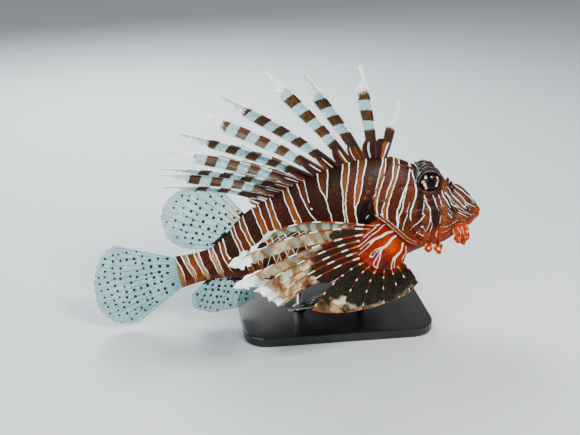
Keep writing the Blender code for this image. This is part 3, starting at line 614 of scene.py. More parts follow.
def lobe(swing):
    """Points and faces of one fleshy fin base, closed all round."""
    shares = np.linspace(0, 1, LOBE_COLUMNS)
    inner = along(LOBE_ROOTS, shares)
    outer = along(PECTORAL_ROOTS, shares)
    grow = np.linspace(0, 1, LOBE_ROWS)[:, None]
    grid = inner * (1 - grow[..., None]) + outer * grow[..., None]
    rounding = np.sqrt(np.clip(1 - np.abs(np.linspace(-1, 1, LOBE_COLUMNS)) ** 6, 0.02, 1))
    gaps = len(PECTORAL_ROOTS) - 1
    ripple = 1 + LOBE_RIPPLE * np.cos(2 * math.pi * gaps * shares) * grow
    thick = mix(*LOBE_THICKNESS, grow) / 2 * rounding * ripple
    thick[-1] *= LOBE_RIM
    swell = sheet_normals(grid) * thick[..., None]
    points = np.vstack(((grid + swell).reshape(-1, 3), (grid - swell).reshape(-1, 3)))
    faces = grid_faces(LOBE_ROWS, LOBE_COLUMNS)
    count = LOBE_ROWS * LOBE_COLUMNS
    faces += [tuple(count + k for k in reversed(face)) for face in faces]
    index = np.arange(count).reshape(LOBE_ROWS, LOBE_COLUMNS)
    ring = np.concatenate((index[0], index[1:, -1], index[-1, -2::-1], index[-2:0:-1, 0])).tolist()
    for k, here in enumerate(ring):
        after = ring[(k + 1) % len(ring)]
        faces.append((here, after, count + after, count + here))
    return swing(points), faces


# %% [markdown]
# ## Wrapping the forms in one skin
# Ridges and creases are then drawn on the skin by pushing its points out or in along their normals,
# with a soft edge: the rim of the gill cover, the mouth, the folds of the jaw and the socket.

# %% Skin shape
SKIN_VOXEL = 0.78
SMOOTHING_ROUNDS = 4
# One step in and a slightly longer one out keep the volume.
SMOOTHING_STEPS = (0.55, -0.57)
GILL_LINE = [
    (63, 90), (63, 64), (68, 54), (77, 44), (84, 37), (88.6, 30.5), (89.8, 26), (87, 20.5),
    (80, 12.5), (73, 3.2), (65, -7.6), (56, -15), (47, -20), (41, -25), (38, -30), (37, -60),
]
GILL_STEP = 1.0
GILL_STEP_ENDS = (92, 122)
# Depth (in is negative), half width, and the line of (u, w) that the ridge or crease follows.
CREASES = [
    (-1.9, 0.75, MOUTH_LINE),
    (-0.6, 0.8, [(19.5, -4.6), (23, -5.5), (26, -8.5), (27, -12)]),
    (0.9, 1.6, [(14, 6), (20, 9), (30, 12.2), (42, 14), (52, 15), (64, 17)]),
    (-0.6, 1.0, [(16, 3), (24, 5.6), (34, 8), (46, 9.5), (56, 10)]),
    (0.8, 1.4, [(66, 22), (61, 10), (57, 1), (52, -7), (46, -13), (39, -17)]),
    (-0.6, 1.0, [(69, 21), (64.5, 9), (60.5, 0), (55, -9), (48.5, -15)]),
    (0.8, 1.3, [(46, 43), (52, 45), (58, 49), (64, 53)]),
    (0.7, 1.3, [(70, 38), (76, 34), (82, 31), (87, 29)]),
    (-0.5, 0.9, [(26, 27.5), (29, 24), (36, 22), (44, 23.5), (49, 28)]),
    (0.6, 1.2, [(12, 20), (17, 21.5), (23, 24), (28, 33)]),
    (-0.5, 0.9, [(6, -6.2), (14, -8.6), (22, -11.4), (30, -14.5), (38, -18)]),
    (-0.5, 1.1, [(49, 33), (56, 36), (63, 37)]),
]
NOSTRILS = [(16.5, 20.5, 1.1), (20.0, 22.4, 0.8)]


def join_shells(shells):
    """Several closed shells as one list of points and faces."""
    points = []
    faces = []
    first = 0
    for shell_points, shell_faces in shells:
        points.append(shell_points)
        faces += [tuple(first + k for k in face) for face in shell_faces]
        first += len(shell_points)
    return np.vstack(points), faces


def relax(points, edges, rounds):
    """Smooths points along their edges without shrinking the form."""
    count = np.bincount(edges.ravel(), minlength=len(points))[:, None]
    for _ in range(rounds):
        for strength in SMOOTHING_STEPS:
            total = np.zeros_like(points)
            for axis in range(3):
                total[:, axis] = np.bincount(edges[:, 0], points[edges[:, 1], axis], len(points))
                total[:, axis] += np.bincount(edges[:, 1], points[edges[:, 0], axis], len(points))
            points = points + (total / count - points) * strength
    return points


def make_skin():
    forms = [body_shell(), lip(True), lip(False), lobe(np.asarray), lobe(left_swing)]
    for side in (1, -1):
        forms.append(ellipsoid((EYE[0], ORBIT_MIDDLE_Y * side, EYE[2]), ORBIT_RADII))
    points, faces = join_shells(forms)
    skin = mesh_object("painted_skin", points * MM, faces)
    face_outwards(skin)
    wrap = skin.modifiers.new("wrap", "REMESH")
    wrap.mode = "VOXEL"
    wrap.voxel_size = SKIN_VOXEL * MM
    bake_modifiers(skin)
    edges = np.empty(len(skin.data.edges) * 2, np.int64)
    skin.data.edges.foreach_get("vertices", edges)
    points = relax(read_points(skin), edges.reshape(-1, 2), SMOOTHING_ROUNDS)
    move_points(skin, points)
    return skin


skin = make_skin()
print("skin points:", len(skin.data.vertices))

# %% Ridges, creases and sockets
# The distance that stands for no line near.
NO_LINE = 9.0


def nearest_line(places, lines, width=1.0, pointed=False):
    """The distance to the nearest of several painted lines, each with its half width."""
    nearest = np.full(len(places), NO_LINE)
    for half, line in lines:
        nearest = np.minimum(nearest, distance_to_line(places, line, half * width, pointed))
    return nearest


def gill_distance(u, w):
    """How far a place is behind the edge of the gill cover, negative on the cover itself."""
    gill = np.array(GILL_LINE, float)
    behind = u > np.interp(w, gill[::-1, 1], gill[::-1, 0])
    off = distance_to_line(np.column_stack((u, w)), GILL_LINE)
    return np.where(behind, off, -off)


def shape_skin(made):
    points = read_points(made) / MM
    outward = read_points(made, "vertex_normals", "vector")
    middle = points.mean(axis=0)
    if ((points - middle) * outward).sum() < 0:
        outward = -outward
    u, y, w = points.T
    places = points[:, (0, 2)]
    on_body = ramp(half_width(u, w) + 2.5 - np.abs(y), 0, 1.5)
    off_gill = gill_distance(u, w)
    fade = 1 - ramp(u, *GILL_STEP_ENDS)
    push = -GILL_STEP * ramp(off_gill, 0.0, 1.1) * fade * on_body
    push += 0.35 * np.exp(-((off_gill + 1.2) / 1.3) ** 2) * on_body
    for depth, width, line in CREASES:
        push += depth * np.exp(-(distance_to_line(places, line) / width) ** 2) * on_body
    for hole_u, hole_w, radius in NOSTRILS:
        off = np.hypot(u - hole_u, w - hole_w)
        push += 0.5 * np.exp(-((off - radius * 1.5) / 0.5) ** 2) - 1.6 * np.exp(-(off / radius) ** 2)
    points = points + outward * push[:, None]

    eye_y = np.abs(points[:, 1])
    off = np.hypot(points[:, 0] - EYE[0], points[:, 2] - EYE[2])
    inside = np.clip(1 - (off / SOCKET_RADIUS) ** 2, 0, 1)
    ball = -EYE[1] + EYE_RADII[1] * np.sqrt(inside) - SOCKET_SINK
    sunk = (off < SOCKET_RADIUS) & (eye_y > ball)
    points[sunk, 1] = np.sign(points[sunk, 1]) * ball[sunk]
    return points


skin_points = shape_skin(skin)

# %% [markdown]
# ## The painted pattern
# A lionfish wears dark bands between pairs of thin pale lines. Each line is written as a few places
# on its flank, read front to rear, with the tone of the band behind it. From them every point of the
# skin gets its numbers: how far it is from the nearest pale line, the tone of its band, how much it
# belongs to the orange-red throat, and a few more. The shader turns these into paint, so the edges
# stay crisp at any distance, which a coarse vertex colour can't do.

# %% Lines of the flank
# Tone of the band behind the line (0 dark, 1 orange-brown, 1.5 pale), half width, and its places.
FLANK_LINES = [
    (0.25, 0.9, [(50, 52), (54, 44), (57, 38), (62, 32), (66, 25), (69.5, 18), (70.5, 9), (71, 2)]),
    (1.0, 0.65, [(57, 58), (60, 52), (64, 45), (70, 36), (74.5, 28), (77.5, 20), (77, 13)]),
    (0.4, 0.65, [(60, 60), (65, 52), (68.5, 44), (74, 37), (78.5, 28), (80.5, 24), (81, 17)]),
    (1.0, 0.65, [(65, 64), (69.5, 56), (73, 49), (77.5, 42), (82, 34), (84.5, 27), (85, 19)]),
    (0.0, 0.6, [(69, 66), (71, 58), (76, 51), (80, 44), (84, 36.5), (86.5, 34.5)]),
    (0.9, 0.65, [(81, 66), (85, 58), (90, 50), (93, 42), (97, 34), (100.5, 28), (101, 18), (100, 6)]),
    (0.4, 0.6, [(87, 66), (91, 58), (95, 49), (98.5, 41), (100.5, 33), (100.8, 28)]),
    (0.9, 0.6, [(94, 65), (98, 58), (102, 49), (105.5, 40), (107.5, 31), (108, 24), (107, 14)]),
    (0.0, 0.6, [(100, 65), (102, 60), (106.5, 50), (108, 40), (109.5, 30), (110, 20), (109, 8),
                (107, -6)]),
    (0.5, 0.55, [(112.5, 63), (115, 56), (118, 48), (120.6, 39.5)]),
    (0.0, 0.6, [(121.5, 62), (123.5, 53), (123.3, 47), (121, 39.5), (120.3, 32), (119, 20), (117, 6)]),
    (0.5, 0.5, [(138, 62), (134, 54), (134, 46), (134, 39)]),
    (0.1, 0.55, [(140.3, 60), (139.5, 51), (138, 42), (135.5, 33), (131, 24), (126, 15), (123, 2)]),
    (0.9, 0.55, [(149, 58), (147, 51), (146, 43), (144, 33), (142, 24), (139, 12)]),
    (0.1, 0.55, [(156, 57), (151.7, 52), (151, 43), (149, 33), (147, 24), (144, 12), (141, 0)]),
    (0.9, 0.55, [(166, 54), (162, 47), (161.3, 39), (159.5, 29), (157.5, 21), (154, 10), (151, -4)]),
    (0.45, 0.55, [(168, 50), (165.5, 42), (164.8, 34), (163, 22), (160, 11), (157, -2)]),
    (0.9, 0.55, [(172.5, 46), (171, 36), (169.5, 28), (168, 19), (165, 8), (162, -6)]),
    (0.0, 0.55, [(179, 46), (176.8, 39), (175.7, 33), (174.3, 27), (173, 20), (170, 9), (167, -6)]),
    (0.9, 0.55, [(187, 41), (185, 35), (184.3, 29), (183, 22), (180, 11), (177, -4)]),
    (0.45, 0.55, [(190, 38), (188.5, 32), (188, 27), (186, 20), (183, 9), (180, -6)]),
    (0.9, 0.55, [(194, 34), (193, 24), (191, 16), (189.5, 9), (187, 0), (185, -10)]),
    (0.0, 0.6, [(197, 29), (195, 20), (193.3, 12), (191.3, 2), (189, -8), (188, -16)]),
    (0.8, 0.65, [(204, 22), (203.3, 15), (203, 9), (201.7, 4.5)]),
    (0.35, 0.6, [(207, 18), (207, 11), (205.5, 4), (203.5, -3), (200, -11), (198, -17)]),
    (1.5, 0.65, [(213, 16), (211.5, 9), (210, 2), (208.7, -6), (206.5, -15)]),
    (0.25, 0.65, [(216.2, 15), (215.5, 7), (213.7, 0), (212.3, -7), (209.5, -14)]),
    (1.5, 0.65, [(224.5, 14), (223, 4), (220.5, -4), (218, -13)]),
    (0.8, 0.65, [(228, 14), (226.5, 5), (224.6, -1), (222.5, -14)]),
    (1.5, 0.6, [(234, 14), (232.5, 6), (230.5, 0), (229.5, -6), (230, -15)]),
    (0.3, 0.6, [(238, 14), (235.7, 4.5), (233.7, -1), (232.5, -8), (232.5, -15)]),
    (1.2, 0.7, [(243, 13), (240.5, 5), (239.2, -2), (239, -14)]),
]

# %% Lines of the head
# Half width, and the places of each line as (u, w). Their ends are pointed.
HEAD_LINES = [
    (0.9, [(51, 50), (51, 39), (51.5, 30), (55, 23), (59, 16), (59.5, 10)]),
    (0.7, [(58, 35), (62, 28), (65, 21), (69, 14), (70, 8)]),
    (0.6, [(58, 25), (61, 19), (63, 13), (65.5, 8), (67.5, 2)]),
    (0.5, [(46.7, 48), (45.8, 44), (49, 40)]),
    (0.65, [(45.5, 27), (46.5, 22), (48, 17), (49.5, 13), (48.2, 11), (53, 7), (59, 4.5), (61, 1)]),
    (0.6, [(44.5, 27), (44.8, 21), (43.2, 15), (43.4, 9), (44.5, 4), (47, -1), (51.5, -6)]),
    (0.5, [(43, 9), (43, 1), (45, -4), (47, -9)]),
    (0.6, [(38.9, 26), (38, 20), (36, 11.5)]),
    (0.5, [(34.5, 25), (33.2, 18), (32.2, 13.5)]),
    (0.75, [(31, 26.5), (30, 21), (28, 16), (26.3, 11.5)]),
    (0.5, [(29, 24.6), (26.4, 19.6), (23.7, 12.5), (20, 9)]),
    (0.5, [(25, 27), (22.8, 20.5), (19.7, 15), (16, 10.4), (12.5, 5)]),
    (0.5, [(22, 25), (18.8, 21), (15, 15.6), (11.7, 10.3), (7, 6), (3.4, 2.6)]),
    (0.5, [(20, 26), (15, 21), (10, 15.6), (7, 11), (3.6, 5.4)]),
    (0.45, [(16, 25), (11.7, 21), (6.5, 14)]),
    (0.35, [(14.4, 12), (10.9, 7), (9.4, 2.3)]),
    (0.4, [(21.9, 11.6), (18.6, 6), (13.2, 2.4), (9, -0.5), (5, -1)]),
    (0.4, [(21.5, 6.3), (16.3, 2), (12.2, -1.5)]),
    (0.45, [(34.8, 7.5), (36.6, 0)]),
    (0.5, [(37, -2.4), (30, -3.8), (24, -1.9), (20.5, -1)]),
    (0.5, [(35.8, -8.2), (31, -8.1), (27, -5.5)]),
    (0.8, [(38.6, -4.4), (39.8, -8), (39.7, -12)]),
    (0.45, [(28.7, 8), (27.4, 5), (26.3, 1.5)]),
    (0.4, [(17, 8), (13.8, 8.2), (10, 8.6)]),
    (0.5, [(33, -13), (26, -11.5), (19, -9.4), (13, -7.6)]),
    (0.45, [(9, -6), (13, -10), (19, -13.5), (26, -16.5)]),
    (0.4, [(53, 4), (50, 1), (49, -3)]),
    (0.4, [(57, 0), (53, -4), (49, -7)]),
    (0.4, [(52, -10), (47, -15), (42, -18.5)]),
    (0.5, [(94.5, 19.2), (90.7, 22.4)]),
    (0.35, [(27.6, 25), (24.7, 18.2), (20.1, 10.7), (15.2, 5.5), (11.5, 1.9)]),
    (0.35, [(17.2, 23.5), (13.1, 19.6), (9.1, 14.7), (4.9, 9.6), (1.9, 4)]),
    (0.35, [(21.3, 18.7), (17.9, 13), (13.2, 7.2)]),
    (0.35, [(29.4, 13.3), (26, 7.5), (25, 2.4)]),
    (0.35, [(23, -2.4), (17.2, -2.6), (12.1, -3.6)]),
    (0.3, [(48.4, 3.7), (52.6, 1.6), (56.9, -1.5)]),
]
# Darker bands of the cheek and nape: half width, and the places of the middle.
HEAD_SHADES = [
    (2.6, [(40.5, 27), (41, 18), (39, 9), (39.5, 1)]),
    (2.4, [(48.5, 44), (48, 32), (50.5, 20), (52, 12)]),
    (2.2, [(58, 14), (55.5, 8), (52, 4)]),
    (2.0, [(30, 22), (27, 14), (23.5, 8)]),
]
# The brow: rings of (radius, half width) from the eye's middle, over its top.
BROW_RINGS = [(9.2, 0.16), (10.6, 0.2), (12.2, 0.16)]
BROW_SPAN = (math.radians(5), math.radians(165))
# The pectoral base: broad pale lines that leave the gill cover and part into narrow loops.
BASE_LINES = [
    (0.45, [(80, 12), (84.7, 9.9), (93.5, 8.4), (100.8, 5.5), (106, 4)]),
    (0.4, [(84, 13), (92, 12), (99, 9.6)]),
    (1.0, [(75, 4.6), (83, 4.2), (90.8, 4.4), (94, 3.2)]),
    (0.4, [(91, 5), (95.5, 4.4), (100, 3), (104, 1.8)]),
    (0.4, [(91, 3.6), (95, 1.6), (99.5, 0.2), (103.8, -1.2), (107, -2.5)]),
    (1.05, [(72.6, 0), (78.3, -2.4), (83, -4.2), (87, -4.4)]),
    (0.4, [(86.3, -3.7), (90.3, -3.3), (94.7, -4.4), (97.6, -6.2)]),
    (0.4, [(88, -4.4), (92.4, -5.8), (94.6, -7.2), (97.5, -6.4)]),
    (0.5, [(86, -4.2), (88, -7.8), (90.3, -11.1), (93.7, -15.1)]),
    (0.4, [(87.2, -5.4), (91.2, -8.6), (94.8, -11), (95.4, -13.2), (93.6, -15.4)]),
    (1.0, [(67.5, -8.5), (70.2, -12.8), (74.7, -14.3), (78.5, -15.2)]),
    (0.45, [(78, -15), (81, -17.4), (82.8, -20.1)]),
    (0.4, [(76.6, -15.5), (78.4, -17.5), (80.2, -20)]),
    (0.5, [(65.5, -12.6), (66.5, -16.2), (71, -18.4)]),
]
# Middle and radius of the round white dots.
WHITE_DOTS = [
    (132.8, 34.3, 0.8), (146.5, 27.0, 0.6), (82.0, 20.9, 0.7), (213.9, 8.8, 0.5), (224.7, 0.1, 0.7),
    (201.7, 4.7, 1.0), (120, 12, 0.7), (158, 3, 0.6), (104, 14, 0.6), (176, 0, 0.6), (136, 8, 0.7),
]
BLACK_PATCH = [(86, 34), (93, 32), (98, 26), (100, 18), (99, 10), (86, 14), (86.5, 24)]
ORANGE_SPOTS = [(84.7, 47.9, 1.6), (85.8, 45.0, 1.3), (88.7, 39.5, 1.8), (91.6, 35.3, 1.5)]
LINE_WIDTH = 0.74
THINNER_BELOW = 0.3
# The red-brown band along the edge of the gill cover: its width, and where its two thin lines run.
GILL_BAND = 4.4
GILL_BAND_LINES = (-1.2, -3.6)
GILL_BAND_LINE = 0.26


def inside_outline(places, outline):
    """Whether each place lies inside a closed outline."""
    inside = np.zeros(len(places), bool)
    u, w = places.T
    for (u1, w1), (u2, w2) in zip(outline, outline[1:] + outline[:1]):
        crosses = (w1 > w) != (w2 > w)
        at = u1 + (w - w1) * (u2 - u1) / (w2 - w1 if w2 != w1 else 1e-9)
        inside ^= crosses & (u < at)
    return inside


# %% Numbers for the paint


def band_tone(u, w):
    """The tone of the flank's band at each place."""
    tone = np.full(len(u), 0.45)
    for band, _, line in FLANK_LINES:
        dense = smooth_line(line)
        order = np.argsort(dense[:, 1])
        tone = np.where(u > np.interp(w, dense[order, 1], dense[order, 0]), band, tone)
    return tone


def back_lines(u):
    """The distance in u to the nearest pale line where it reaches the back."""
    return np.minimum.reduce([np.abs(u - line[0][0]) - half for _, half, line in FLANK_LINES])


def paint_numbers(points):
    """The distance to the nearest pale line, the band's tone, the throat's red and the height."""
    u, y, w = points.T
    side = np.where(y < 0, 0.0, 1.0)
    wobble = 0.16 * np.sin(u * 0.5 + w * 0.4 + 2.1 * side) + 0.12 * np.sin(w * 0.9 - u * 0.3 + side)
    shifted = u + wobble + side * 0.6 * np.sin(u * 0.11 + w * 0.05)
    places = np.column_stack((shifted, w))
    height = height_share(u, w)
    off_body = np.maximum(np.abs(y) - half_width(u, w), 0)
    on_lobe = ramp(off_body, 1.2, 3.0) * ramp(u, 60, 64) * ramp(20 - w, 0, 3)
    off_gill = gill_distance(u, w)
    round_base = ramp(18 - w, 0, 3) * ramp(w, -26, -22) * ramp(94 - u, 0, 4) * ramp(u, 58, 64)
    round_base = round_base * (off_gill > 0)
    lobe_side = (on_lobe > 0.5) | (round_base > 0.5)

    flank = nearest_line(places, [row[1:] for row in FLANK_LINES], LINE_WIDTH)
    for dot_u, dot_w, radius in WHITE_DOTS:
        flank = np.minimum(flank, np.hypot(shifted - dot_u, w - dot_w) - radius)
    flank += THINNER_BELOW * ramp(-height, 0.1, 0.9)
    head = nearest_line(places, HEAD_LINES, LINE_WIDTH, True)
    off_eye = np.hypot(u - EYE[0], w - EYE[2])
    around = np.arctan2(w - EYE[2], u - EYE[0])
    over = (around > BROW_SPAN[0]) & (around < BROW_SPAN[1])
    for radius, half in BROW_RINGS:
        head = np.where(over, np.minimum(head, np.abs(off_eye - radius) - half), head)
    pale = np.where(lobe_side, nearest_line(places, BASE_LINES), np.minimum(flank, head))

    tone = band_tone(shifted, w)
    for spot_u, spot_w, radius in ORANGE_SPOTS:
        off = np.hypot(shifted - spot_u, w - spot_w)
        tone = np.maximum(tone, 0.7 * (1 - ramp(off, radius * 0.2, radius * 1.6)))
    black = inside_outline(places, BLACK_PATCH) & ~lobe_side
    tone = np.where(black, -1.0, tone)
    ahead = (off_gill < 0) & (u < 92)
    head_tone = 0.42 - 0.30 * ramp(w, 30, 46) - 0.2 * np.exp(-((off_eye - 9) / 3) ** 2)
    head_tone += 0.25 * np.sin(u * 0.42 + w * 0.1) * ramp(w, -20, 5)
    head_tone += 0.25 * ramp(2 - w, 0, 10)
    for half, line in HEAD_SHADES:
        off = distance_to_line(places, line)
        head_tone -= 0.45 * (1 - ramp(off, half * 0.5, half * 1.4))
    tone = np.where(ahead & (u < 62), mix(tone, head_tone, ramp(60 - u, 0, 12)), tone)
    # On the fleshy fin base the tone holds a painted highlight over its middle and a painted shade low at
    # its rear.
    lobe_painted_highlight = 0.42 * np.exp(-((u - 80) ** 2 + (w + 7) ** 2) / 70)
    lobe_painted_shade = 0.75 * np.exp(-((u - 86) ** 2 + (w + 16) ** 2) / 45)
    tone = np.where(lobe_side, 0.5 + lobe_painted_highlight - lobe_painted_shade, tone)

    band = GILL_BAND * ramp(w, 25, 15) * ramp(w, -16, -9)
    on_band = (off_gill > -band) & (off_gill < 0.4) & ~lobe_side & (u < 92)
    own = np.minimum.reduce([np.abs(off_gill - off) - GILL_BAND_LINE for off in GILL_BAND_LINES])
    pale = np.where(on_band, own, pale)
    tone = np.where(on_band, 0.75, tone)

    low_head = ramp(6 - w, 0, 16) * ahead
    throat = ramp(-2 - w, 0, 10) * (1 - ramp(u, 84, 104)) * ramp(u, 8, 26)
    red = np.maximum.reduce([on_lobe, throat * 0.9, low_head * 0.8, round_base, on_band * 0.45])
    white = mix(0.45, 0.97, ramp(height, -1.1, -0.1)) * mix(0.62, 1.0, ramp(u, 14, 46))
    white = np.where(over & (off_eye < 13), 0.3, white)
    white = np.where(lobe_side, 0.92, np.where(on_band, 0.6, white))
    snout = ramp(40 - u, 0, 10) * ramp(off_eye, 9, 12) * ahead
    return {"pale": pale, "tone": tone, "red": np.clip(red, 0, 1), "height": height, "white": white,
            "snout": snout, "wave": 0.87 * u - 0.49 * w}


carry(skin.data, paint_numbers(skin_points))
move_points(skin, place(skin_points))
skin.data.flip_normals()
print("skin spans", [round(v * 1000, 1) for v in skin.dimensions])

# %% [markdown]
# ## Painted skin
# On the real model this is cast resin with airbrushed acrylic paint under a satin varnish, laid over
# tiny scales. The colours go on in layers: the band's tone first, then a mottle of fine specks, a
# dark edge beside each line, the pale lines, and the warm red of the throat. Small scales are bump.

# %% Skin material


def band_colours(node, tone):
    """Paint for a tone: black at -1, dark brown at 0, orange-brown at 1 and pale from 1.5."""
    bands = node("ShaderNodeValToRGB", node("ShaderNodeMapRange", tone, -1.0, 2.0)).node
    stops = bands.color_ramp.elements
    stops[0].position = 0.05
    stops[0].color = linear("#070404")
    stops[1].position = 0.98
    stops[1].color = linear("#cfa886")
    for at, colour in ((0.27, "#24100a"), (0.38, "#3a160a"), (0.50, "#5e280f"), (0.63, "#824717"),
                       (0.76, "#98632f")):
        stops.new(at).color = linear(colour)
    return bands.outputs["Color"]


def skin_material():
    """Airbrushed acrylic on cast resin under satin varnish: soft sheen, fine speckle, crisp lines."""
    made, node, tone, pale, red, height, white, snout, wave = start_material(
        "airbrushed_resin_skin", "tone", "pale", "red", "height", "white", "snout", "wave")
    mottle = noise(node, 2.6, 4.0)
    speck = noise(node, 0.55, 2.0, seed=3.1)
    cloud = noise(node, 14.0, 2.0, 0.5, seed=7.7)
    uneven = node(MINUS, mottle, 0.5)

    toned = node(PLUS, tone, node(TIMES, uneven, 0.9))
    colour = band_colours(node, toned)
    colour = node(BLEND, node(EDGE, height, 0.55, 1.0, 0, 0.5), colour, "#1f140a")
    colour = node(BLEND, node(EDGE, height, -0.35, -0.95, 0, 0.4), colour, "#8a5340")
    colour = node(BLEND, node(EDGE, speck, 0.56, 0.70, 0, 0.45), colour, "#180805")
    colour = node(BLEND, node(EDGE, speck, 0.38, 0.28, 0, 0.30), colour, "#b0571f")
    fleck = node(EDGE, noise(node, 1.5, 2.0, 0.55, seed=5.5), 0.55, 0.72, 0, 0.45)
    fleck = node(TIMES, fleck, node(EDGE, cloud, 0.40, 0.62))
    fleck = node(TIMES, fleck, node(EDGE, tone, -0.6, 0.1))
    colour = node(BLEND, fleck, colour, "#98501c")
    # Fine pale wavy lines, 2.3 mm apart, run down the snout between the painted ones.
    bend = node(PLUS, wave, node(TIMES, mottle, 5.0))
    turn = node(ABSOLUTE, node(SINE, node(TIMES, bend, math.pi / 2.3)))
    squiggle = node(TIMES, node(EDGE, turn, 0.38, 0.14, 0, 0.5), node(EDGE, cloud, 0.36, 0.46))
    colour = node(BLEND, node(TIMES, squiggle, snout), colour, "#b58c70")

    flesh = node(BLEND, node(EDGE, toned, -0.15, 0.45), "#3d0f08", "#7d220a")
    flesh = node(BLEND, node(EDGE, toned, 0.45, 1.05), flesh, "#bf4a14")
    flesh = node(BLEND, node(EDGE, cloud, 0.5, 0.7, 0, 0.6), flesh, "#7a180b")
    flesh = node(BLEND, node(EDGE, mottle, 0.52, 0.64, 0, 0.5), flesh, "#5c150a")
    colour = node(BLEND, red, colour, flesh)

    off_line = node(PLUS, pale, node(TIMES, uneven, 0.45))
    colour = node(BLEND, node(EDGE, off_line, 1.0, 0.1, 0, 0.6), colour, "#120705")
    line_tint = node(BLEND, node(EDGE, height, -0.7, 0.2), "#cfa28a", "#e3ebec")
    line_tint = node(BLEND, node(EDGE, cloud, 0.45, 0.75), line_tint, "#c4dde6")
    line_tint = node(BLEND, node(TIMES, red, 0.45), line_tint, "#e6c9b6")
    colour = node(BLEND, node(TIMES, node(EDGE, off_line, 0.12, -0.12), white), colour, line_tint)

    # Scales of about 1.2 mm.
    where = node("ShaderNodeTexCoord", out="Object")
    scales = node("ShaderNodeTexVoronoi", where, 1 / (1.2 * MM), Randomness=0.75)
    raised = node(PLUS, node(TIMES, scales, -0.6), mottle)
    rough = node("ShaderNodeMapRange", speck, 0.3, 0.7, 0.40, 0.58)
    return finish_material(made, colour, rough, (0.35, 0.0006, raised), coat=0.04,
                           coat_roughness=0.3, specular=0.2)


skin.data.materials.clear()
skin.data.materials.append(skin_material())
finish_piece(skin, "body_skin", "head", "torso", "tail", "pectoral_base_right", "pectoral_base_left")

# %% [markdown]
# ## Glass eyes
# A museum eye is a glass ball painted from behind: a black pupil, a dark upright bar that hides the
# eye among the stripes, and pearly patches on a marbled brown iris. The glass gives a wet highlight,
# which the coat layer of the shader draws. The ball carries its own two numbers, the place on the
# iris along and up from the pupil, so the painting follows the eye.

# %% Eyes
# Places on the iris behind and above the pupil, and the radius of each patch.
EYE_PATCHES = [(2.7, 5.2, 1.2), (2.1, 3.7, 0.6), (6.0, 1.7, 1.1), (4.9, 0.5, 1.0), (4.4, -1.3, 0.8),
               (4.2, -3.6, 0.6), (-5.7, 2.4, 0.7), (-5.9, 0.9, 0.7), (-4.4, -2.7, 1.0), (-5.2, -0.6, 0.5)]


def eye_material():
    """Painted glass: colour under a clear, sharp coat."""
    made, node, ahead, upward = start_material("painted_glass_eye", "iris_u", "iris_w")
    far = radial(node, ahead, upward)
    marble = noise(node, 1.6)
    uneven = node(MINUS, marble, 0.5)
    colour = node(BLEND, node(EDGE, marble, 0.48, 0.64), "#120906", "#6e3212")
    # Broken pearly patches stand round the dark upright bar.
    nearest = 9.0
    for patch_u, patch_w, radius in EYE_PATCHES:
        off = radial(node, node(MINUS, ahead, patch_u), node(MINUS, upward, patch_w))
        nearest = node(SMALLER, nearest, node(MINUS, off, radius))
    pearl = node(PLUS, nearest, node(TIMES, uneven, 5.4))
    patch = node(TIMES, node(EDGE, pearl, 0.15, -0.15), node(EDGE, far, 7.2, 6.7))
    colour = node(BLEND, patch, colour, "#e6ebe2")
    bar = node(PLUS, node(ABSOLUTE, ahead), node(TIMES, uneven, 2.0))
    colour = node(BLEND, node(EDGE, bar, 2.9, 2.2), colour, "#080504")
    ring = node(TIMES, node(EDGE, far, 3.8, 3.5, 0, 0.3), node(EDGE, far, 3.1, 3.35))
    colour = node(BLEND, ring, colour, "#6e4417")
    colour = node(BLEND, node(EDGE, far, 3.3, 3.1), colour, "#010102")
    return finish_material(made, colour, 0.3, coat=0.35, coat_roughness=0.03, specular=0.1)


glass_eye = eye_material()
for name, side in (("right", 1), ("left", -1)):
    middle = (EYE[0], EYE[1] * side, EYE[2])
    ball_points, ball_faces = ellipsoid(middle, EYE_RADII, 64, 40)
    ball_values = {"iris_u": ball_points[:, 0] - EYE[0], "iris_w": ball_points[:, 2] - EYE[2]}
    ball = mesh_object("glass_eye_" + name, place(ball_points), ball_faces, ball_values, glass_eye)
    face_outwards(ball)
    finish_piece(ball, "eye", "eye_" + name)

# %% [markdown]
# ## Tapered rays from Geometry Nodes
# Spines, fin rays and their branches are all one thing: a rod that follows a path and thins towards
# its end. So one node tree makes them all. It reads a mesh of plain paths with a radius at each
# point, turns them into curves, sweeps a circle along them and sets the material. The numbers that
# the paths carry come through to the rods.

# %% Node tree for rods


def start_tree(name, **inputs):
    """A new node tree over a mesh with named inputs, and the function that adds its nodes."""
    tree = bpy.data.node_groups.new(name, "GeometryNodeTree")
    face = tree.interface
    face.new_socket("Geometry", in_out="INPUT", socket_type="NodeSocketGeometry")
    named = {key: face.new_socket(key, in_out="INPUT", socket_type="NodeSocket" + kind).identifier
             for key, kind in inputs.items()}
    face.new_socket("Geometry", in_out="OUTPUT", socket_type="NodeSocketGeometry")
    return tree, named, partial(add, tree), tree.nodes.new("NodeGroupInput").outputs


def end_tree(tree, node, geometry, finish):
    """Each tree ends in plain geometry that wears its material."""
    real = node("GeometryNodeRealizeInstances", geometry)
    painted = node("GeometryNodeSetMaterial", Geometry=real, Material=finish)
    tree.links.new(painted, tree.nodes.new("NodeGroupOutput").inputs["Geometry"])


def run_tree(made, tree, named, **values):
    """Runs a tree on an object and keeps the result as a plain mesh."""
    modifier = made.modifiers.new("tree", "NODES")
    modifier.node_group = tree
    for key, value in values.items():
        modifier[named[key]] = value
    return bake_modifiers(made)


def rods_tree():
    tree, named, node, into = start_tree("tapered_rods", Sides="Int", Thickness="Float",
                                         Finish="Material")
    paths = node("GeometryNodeMeshToCurve", into["Geometry"])
    radius = node(("GeometryNodeInputNamedAttribute", {"data_type": "FLOAT"}), "radius_mm")
    size = node(TIMES, node(TIMES, radius, MM), into["Thickness"])
    circle = node("GeometryNodeCurvePrimitiveCircle", Resolution=into["Sides"], Radius=1.0)
    swept = node("GeometryNodeCurveToMesh", paths, circle, size, True)
    end_tree(tree, node, swept, into["Finish"])
    return tree, named


ROD_TREE = rods_tree()


